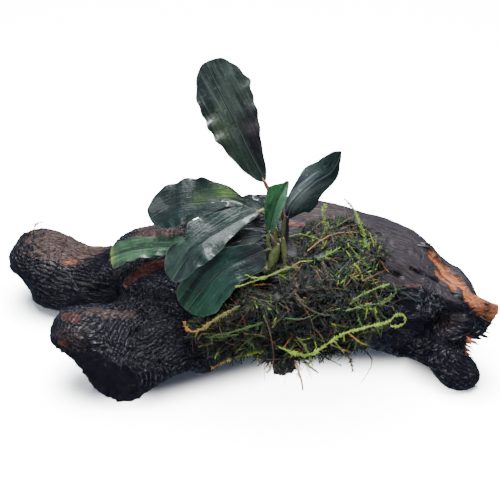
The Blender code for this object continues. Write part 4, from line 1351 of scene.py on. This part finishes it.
def make_moss_shoots(settings, rng):
    """Thousands of leafy shoots over the cushion, in a few pieces from left to right."""
    pattern = shoot()
    cushion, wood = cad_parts["moss_cushion"], wood_tree()
    tree = tree_of(cushion)
    feet, normals = spots_on(cushion, settings.shoots, rng, wood)
    more = spots_over(wood, rng)
    feet, normals = np.concatenate([feet, more]), np.concatenate([normals, np.tile((0.0, 0.0, 1.0), (len(more), 1))])
    count = len(feet)
    pull = unit(feet - (17, -32, 46)) * 0.45 + (0, 0, -0.25)
    along, across, up = ways_on(normals, feet, pull, rng, 0, 30)
    fresh = freshness(feet)
    tops = moss_tints(fresh, rng.random(count))
    sunk = feet - normals * (rng.uniform(0.5, 2.6, (count, 1)) + dip_at(feet)[:, None])
    lengths = rng.uniform(3.5, 9.5, count)
    lengths = held_in(tree, sunk, along, lengths, 2.5, rng.uniform(0.2, 2.2, count))
    sunk[len(feet) - len(more):] = more
    sunk = raised(sunk)
    widths = rng.uniform(2.4, 4.2, count) * (1 + 0.35 * fresh)
    bends = (normals * rng.uniform(-0.3, 0.2, (count, 1)) + across * rng.normal(0, 0.45, (count, 1))
             + np.array((0, 0, -0.1))) * lengths[:, None]
    order = np.argsort(feet[:, 0])
    made = []
    for k, group in enumerate(np.array_split(order, settings.pieces)):
        part = copies(pattern, sunk[group], along[group], across[group], up[group], lengths[group],
                      widths[group], bends[group])
        obj = big_piece(f"moss_shoots_{k + 1}", [part])
        tint = tops[group][:, None] * (0.35 + 0.75 * part[2].reshape(len(group), -1, 1))
        made.append(tinted(obj, np.clip(tint, 0, 1).reshape(-1, 3)))
    return made


def make_moss_threads(settings, rng):
    """Bare brown and orange stems that run through the cushion."""
    cushion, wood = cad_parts["moss_cushion"], wood_tree()
    tree = tree_of(cushion)
    feet, normals = spots_on(cushion, settings.threads, rng, wood)
    count = len(feet)
    along, across, up = ways_on(normals, feet, np.array((0, 0, -0.2)), rng, -5, 18)
    feet = raised(feet - normals * (0.8 + dip_at(feet)[:, None]))
    lengths = held_in(tree, feet, along, rng.uniform(5, 16, count), 4, rng.uniform(0.2, 2.0, count))
    bends = (across * rng.normal(0, 0.35, (count, 1)) - normals * rng.uniform(0, 0.25, (count, 1))) * lengths[:, None]
    part = copies(thread(), feet, along, across, up, lengths, rng.uniform(0.2, 0.42, count), bends)
    names = rng.choice(["umber", "tan", "rust", "amber", "olive", "black"], count,
                       p=[0.42, 0.12, 0.12, 0.03, 0.06, 0.25])
    return toned_copies("moss_threads", part, [MOSS_COLOURS[name] for name in names])


def raised(points):
    """The points, with the cushion's underside pulled up where the photo shows the wood's belly free."""
    lift = 4.2 * smoothstep(34, 22, points[:, 2]) * smoothstep(14, 24, points[:, 0])
    return points + lift[:, None] * (0, 0, 1)


def dip_at(points):
    """How far the moss lies under its solid, in millimetres: more to the left and right, where it is thin."""
    thin = 2.2 * smoothstep(4, -14, points[:, 0]) + 1.6 * smoothstep(40, 50, points[:, 0])
    return np.clip(0.5 + thin + 1.3 * noise(points * 0.11, 91), 0, 4)


def make_moss_mat():
    """The dark, close-grown mass under the shoots."""
    mat = copy_of("moss_mat", "moss_cushion")
    remesh(mat, MAT_MESH)
    points, normals = in_design(points_of(mat)), normals_of(mat)
    rough = 1.1 * noise(points * 0.28, 41) + 0.6 * noise(points * 0.8, 42) + 0.35 * noise(points * 1.9, 43)
    wood = wood_tree()
    found = [wood.find_nearest(Vector(point)) for point in placed(points)]
    inward = unit(in_design([hit[0] for hit in found]) - points)
    away = np.array([hit[3] for hit in found]) / MM
    dip = 1.6 + dip_at(points) + 2.2 * smoothstep(4.5, 1.0, away)
    points = points + normals * rough[:, None] * smoothstep(0.5, 4, away)[:, None] + inward * dip[:, None]
    set_points(mat, placed(raised(points)))
    tone = np.clip(0.4 + 0.6 * noise(points * 0.6, 44) + 0.5 * noise(points * 1.6, 45), 0.1, 1.5)
    return smooth(tinted(mat, tone[:, None] * np.array((0.004, 0.0048, 0.0048))))


OUTWARD = np.array((0.05, -0.8, 0.6))      # the side that the flat fronds turn outwards, on the whole


def make_fronds(name, rows, rng, wood):
    """Strands of moss as one piece."""
    parts, tints = [], []
    for row in rows:
        some, tones = frond_parts(*row, rng, wood)
        parts += some
        tints.append(tones)
    return tinted(big_piece(name, parts), np.concatenate(tints))


def frond_parts(route, half, foot_colour, tip_colour, rng, wood):
    """A strand of moss: a thin stem with close rows of leaflets, thinning to its tip."""
    path = spline(route, 14)
    path = in_design(clear_of(wood, placed(path), (half * 0.5) * MM))
    path = path + 0.22 * noises(path * 0.9, 51)
    run = run_along(path)
    along = unit(np.gradient(path, axis=0))
    share = run / run[-1]
    stem_points, stem_faces = tube(path, 0.26 - 0.12 * share, 4)
    sizes = np.array([len(face) for face in stem_faces])
    stem = (stem_points, (np.concatenate([np.array(face) for face in stem_faces]), sizes), np.repeat(share, 4))
    count = int(run[-1] / (LEAFLET_STEP if half > 0.5 else BARE_STEP))
    spot = np.linspace(0.02, 0.99, count)
    at, way = interpolated(spot, share, path), unit(interpolated(spot, share, along))
    hand = np.where(np.arange(count) % 2, 1.0, -1.0)[:, None]
    roll = rng.normal(0, 0.55, (count, 1))
    flat = unit(np.cross(way, OUTWARD))
    sideways = flat * np.cos(roll) + np.cross(flat, way) * np.sin(roll)
    lean = np.radians(rng.uniform(32, 66, count))[:, None]
    leaf_along = unit(way * np.cos(lean) + sideways * hand * np.sin(lean))
    leaf_up = unit(np.cross(way, sideways))
    leaf_across = np.cross(leaf_up, leaf_along)
    swell = 0.75 + 0.35 * np.sin(spot * run[-1] * 1.1 + 2) * np.sin(spot * run[-1] * 0.37)
    lengths = max(half, 0.5) * rng.uniform(1.0, 1.7, count) * (1 - 0.35 * spot) * swell
    leaves = copies(leaflet(), at, leaf_along, leaf_across, leaf_up, lengths, lengths * 0.85,
                    leaf_up * (rng.normal(0, 0.2, (count, 1)) * lengths[:, None]))
    blend = np.concatenate([np.repeat(share, 4), np.repeat(spot, len(leaves[0]) // count)])[:, None] ** 1.4
    foot, tip = np.array(MOSS_COLOURS[foot_colour]), np.array(MOSS_COLOURS[tip_colour])
    flicker = 1 + 0.5 * noise(np.concatenate([stem[0], leaves[0]]) * 1.1, 55)[:, None]
    shade = np.concatenate([np.full(len(stem[0]), 0.6), np.ones(len(leaves[0]))])[:, None]
    return [stem, leaves], np.clip((foot * (1 - blend) + tip * blend) * flicker * shade, 0, 1)


# Roots

def make_knob():
    """The dark, frayed end of an old stem under the wood."""
    knob = copy_of("root_knob_surface", "root_knob")
    remesh(knob, KNOB_MESH, 4)
    points, normals = in_design(points_of(knob)), normals_of(knob)
    rough = (1.0 * noise(points * 0.45, 61) + 0.7 * ridged(points * (0.9, 0.9, 0.22), 62)
             + 0.4 * noise(points * (2.2, 2.2, 0.9), 64) - 0.5)
    set_points(knob, placed(points + normals * rough[:, None]))
    tone = 0.7 + 0.6 * noise(points * 0.8, 63) + 0.9 * np.maximum(rough, 0)
    return smooth(tinted(knob, np.outer(tone, (0.017, 0.0125, 0.012))))


def make_root(name, route, wood):
    """A single root, thinner to its tip."""
    path = spline(route, 10)
    path = in_design(clear_of(wood, placed(path), 0.4 * MM))
    path = path + 0.25 * noises(path * 0.5, 71)
    share = np.linspace(0, 1, len(path))
    radii = (0.62 - 0.3 * share) * (1 + 0.12 * noise(path * 1.3, 74))
    obj = new_piece(name + "_surface", *tube(placed(path), radii * MM, 8))
    return tinted(obj, np.repeat(np.outer(0.7 + 0.5 * share, (0.3, 0.22, 0.12)), 8, axis=0))


def make_hair_roots(rng):
    """Thin roots that hang from the knob and the lower edge of the moss."""
    count = 30
    feet = np.stack([rng.uniform(5, 25, count), rng.uniform(-32, -23, count), rng.uniform(11, 17, count)], 1)
    feet = in_design(clear_of(wood_tree(), placed(feet), 0.2 * MM))
    along = unit(np.stack([rng.normal(0, 0.35, count), rng.normal(-0.1, 0.25, count), -np.ones(count)], 1))
    across = unit(np.cross(along, (0, 1, 0)))
    up = np.cross(across, along)
    lengths = np.minimum(rng.uniform(2, 8, count), feet[:, 2] - 0.5)
    bends = rng.normal(0, 1.2, (count, 3)) * (1, 1, 0.2)
    part = copies(thread(), feet, along, across, up, lengths, rng.uniform(0.16, 0.34, count), bends)
    return toned_copies("hair_roots", part, np.outer(rng.uniform(0.15, 1.0, count), (0.26, 0.19, 0.1)))


# Settings

class WoodSettings(bpy.types.PropertyGroup):
    """Sizes of the driftwood's surface."""

    mesh: bpy.props.FloatProperty(
        name="Mesh size", description="How fine the wood's surface is meshed", default=0.55 * MM, min=0.3 * MM,
        unit="LENGTH", precision=5)
    faces: bpy.props.IntProperty(
        name="Triangles", description="Most triangles that the wood keeps", default=198000)


class LeafSettings(bpy.types.PropertyGroup):
    """How finely the blades are meshed."""

    rows: bpy.props.IntProperty(name="Rows", description="Faces along each blade", default=56)
    columns: bpy.props.IntProperty(name="Columns", description="Faces across each blade", default=28)


class MossSettings(bpy.types.PropertyGroup):
    """How much moss grows on the wood."""

    shoots: bpy.props.IntProperty(name="Shoots", description="Leafy shoots on the cushion", default=3600)
    threads: bpy.props.IntProperty(name="Threads", description="Bare stems through the cushion", default=760)
    pieces: bpy.props.IntProperty(name="Pieces", description="Meshes that the shoots are parted into", default=5)


class StageSettings(bpy.types.PropertyGroup):
    """Camera and light round the object."""

    elevation: bpy.props.FloatProperty(
        name="Elevation", description="How far the camera looks down", default=math.radians(35), subtype="ANGLE")
    distance: bpy.props.FloatProperty(
        name="Distance", description="From the camera to what it looks at", default=406 * MM, unit="LENGTH")
    lens: bpy.props.FloatProperty(name="Lens", description="Focal length", default=78, unit="CAMERA")
    aim: bpy.props.FloatVectorProperty(
        name="Aim", description="The point that the camera looks at", default=(3.2 * MM, -2 * MM, 46.8 * MM),
        subtype="TRANSLATION", precision=5)
    light: bpy.props.FloatVectorProperty(
        name="Light", description="Colour of the soft light", default=(0.96, 0.985, 1), subtype="COLOR")


# Operators

class DRIFTWOOD_OT_wood(bpy.types.Operator):
    """Makes the wet driftwood and the splinters of its torn end"""

    bl_idname = "driftwood.wood"
    bl_label = "Driftwood"

    def execute(self, context):
        finish_piece(make_wood(context.scene.driftwood_wood), wet_wood(), "wet_driftwood", *WOOD_NODES)
        finish_piece(make_splinters(np.random.default_rng(SPLINTER_SEED)), root_skin(), "wet_driftwood")
        return {"FINISHED"}


class DRIFTWOOD_OT_leaves(bpy.types.Operator):
    """Makes every blade of the plant"""

    bl_idname = "driftwood.leaves"
    bl_label = "Leaves"

    def execute(self, context):
        skin = leaf_skin()
        for name, leaf in LEAVES.items():
            blade = make_blade(name.replace("leaf", "blade"), leaf, context.scene.driftwood_leaves)
            finish_piece(blade, skin, "leaf", name)
        return {"FINISHED"}


class DRIFTWOOD_OT_stems(bpy.types.Operator):
    """Makes the creeping stem, the stalks and their sheaths"""

    bl_idname = "driftwood.stems"
    bl_label = "Stems"

    def execute(self, context):
        skin = stem_skin()
        stem = stem_path()
        finish_piece(make_rhizome(stem), skin, "stem", "rhizome")
        for name, leaf in LEAVES.items():
            stalk = make_stalk(name.replace("leaf", "stalk"), stalk_path(leaf, stem), STALK_COLOURS[name])
            finish_piece(stalk, skin, "stem", name.replace("leaf", "petiole"))
        finish_piece(make_sheaths(), skin, "stem")
        return {"FINISHED"}


class DRIFTWOOD_OT_moss(bpy.types.Operator):
    """Makes the moss: its mat, shoots, threads and loose fronds"""

    bl_idname = "driftwood.moss"
    bl_label = "Moss"

    def execute(self, context):
        settings = context.scene.driftwood_moss
        rng = np.random.default_rng(MOSS_SEED)
        skin = moss_skin("moss", 0.45)
        finish_piece(make_moss_mat(), moss_skin("moss_mat", 0.6), "moss", "moss_cushion")
        for piece in make_moss_shoots(settings, rng):
            finish_piece(piece, skin, "moss")
        finish_piece(make_moss_threads(settings, rng), skin, "moss")
        wood = wood_tree()
        for name, row in FRONDS.items():
            frond = make_fronds("moss_frond_" + name, [row], rng, wood)
            finish_piece(frond, skin, "moss", "moss_strand_" + name)
        finish_piece(make_fronds("moss_fronds_lying", LYING, rng, wood), skin, "moss")
        sprig = make_fronds("moss_frond_branch", [BRANCH_SPRIG], rng, wood)
        finish_piece(sprig, skin, "moss", "moss_sprig_branch")
        return {"FINISHED"}


class DRIFTWOOD_OT_roots(bpy.types.Operator):
    """Makes the old stem end under the wood and the roots beside it"""

    bl_idname = "driftwood.roots"
    bl_label = "Roots"

    def execute(self, context):
        rng = np.random.default_rng(ROOT_SEED)
        skin = root_skin()
        wood = wood_tree()
        finish_piece(make_knob(), skin, "root", "root_knob")
        for name, route in ROOTS.items():
            finish_piece(make_root(name, route, wood), skin, "root", name)
        finish_piece(make_hair_roots(rng), skin, "root")
        return {"FINISHED"}


FLOOR_SIZE = 40                 # metres, so that no edge of it shows
SENSOR_WIDTH, CLIP_START = 36, 0.01
LAMPS = [
    # name, place, size in metres and watts
    ("key", (0.06, 0.02, 0.95), 0.75, 80),
    ("window", (-0.32, 0.30, 0.62), 0.10, 3.0),
    ("fill", (-0.55, -0.55, 0.6), 0.5, 4),
]
SKY_COLOUR, SKY_STRENGTH = (0.6, 0.8, 1.15, 1), 0.32


class DRIFTWOOD_OT_stage(bpy.types.Operator):
    """Makes the pale floor, which glows and carries a painted shadow, the soft light and the camera"""

    bl_idname = "driftwood.stage"
    bl_label = "Stage"

    def execute(self, context):
        settings = context.scene.driftwood_stage
        deselect()
        bpy.ops.mesh.primitive_plane_add(size=FLOOR_SIZE, location=(0, 0, 0))
        floor = bpy.context.object
        floor.name = "floor"
        floor.data.materials.append(plain_floor())
        floor.visible_glossy = False
        aim = Vector(settings.aim)
        way = Vector((0, math.cos(settings.elevation), -math.sin(settings.elevation)))
        deselect()
        bpy.ops.object.camera_add(location=aim - way * settings.distance)
        camera = bpy.context.object
        camera.rotation_mode = "QUATERNION"
        camera.rotation_quaternion = way.to_track_quat("-Z", "Y")
        camera.data.lens = settings.lens
        camera.data.sensor_width = SENSOR_WIDTH
        camera.data.clip_start = CLIP_START
        context.scene.camera = camera
        for name, place, size, power in LAMPS:
            deselect()
            bpy.ops.object.light_add(type="AREA", location=place)
            lamp = bpy.context.object
            lamp.name = name + "_light"
            lamp.data.shape = "SQUARE"
            lamp.data.size = size
            lamp.data.energy = power
            lamp.data.color = settings.light
            lamp.rotation_mode = "QUATERNION"
            lamp.rotation_quaternion = (aim - lamp.location).to_track_quat("-Z", "Y")
        world = bpy.data.worlds.new("soft_white")
        world.use_nodes = True
        sky = world.node_tree.nodes["Background"].inputs
        sky["Color"].default_value, sky["Strength"].default_value = SKY_COLOUR, SKY_STRENGTH
        context.scene.world = world
        return {"FINISHED"}


OPERATORS = (DRIFTWOOD_OT_wood, DRIFTWOOD_OT_leaves, DRIFTWOOD_OT_stems, DRIFTWOOD_OT_moss, DRIFTWOOD_OT_roots,
             DRIFTWOOD_OT_stage)


class DRIFTWOOD_PT_panel(bpy.types.Panel):
    """Lists the pieces and their sizes"""

    bl_label = "Bucephalandra on Driftwood"
    bl_idname = "DRIFTWOOD_PT_panel"
    bl_space_type = "VIEW_3D"
    bl_region_type = "UI"
    bl_category = "Driftwood"

    def draw(self, context):
        for operator in OPERATORS:
            self.layout.operator(operator.bl_idname)
        for name, group in SETTINGS.items():
            box = self.layout.box()
            for row in group.__annotations__:
                box.prop(getattr(context.scene, name), row)


SETTINGS = {
    "driftwood_wood": WoodSettings,
    "driftwood_leaves": LeafSettings,
    "driftwood_moss": MossSettings,
    "driftwood_stage": StageSettings,
}


def register():
    for part in (*SETTINGS.values(), *OPERATORS, DRIFTWOOD_PT_panel):
        bpy.utils.register_class(part)
    for name, group in SETTINGS.items():
        setattr(bpy.types.Scene, name, bpy.props.PointerProperty(type=group))


def unregister():
    for name in SETTINGS:
        delattr(bpy.types.Scene, name)
    for part in (DRIFTWOOD_PT_panel, *OPERATORS, *SETTINGS.values()):
        bpy.utils.unregister_class(part)


def main():
    register()
    bpy.ops.driftwood.stage()
    bpy.ops.driftwood.wood()
    bpy.ops.driftwood.leaves()
    bpy.ops.driftwood.stems()
    bpy.ops.driftwood.moss()
    bpy.ops.driftwood.roots()


if __name__ == "__main__":
    main()
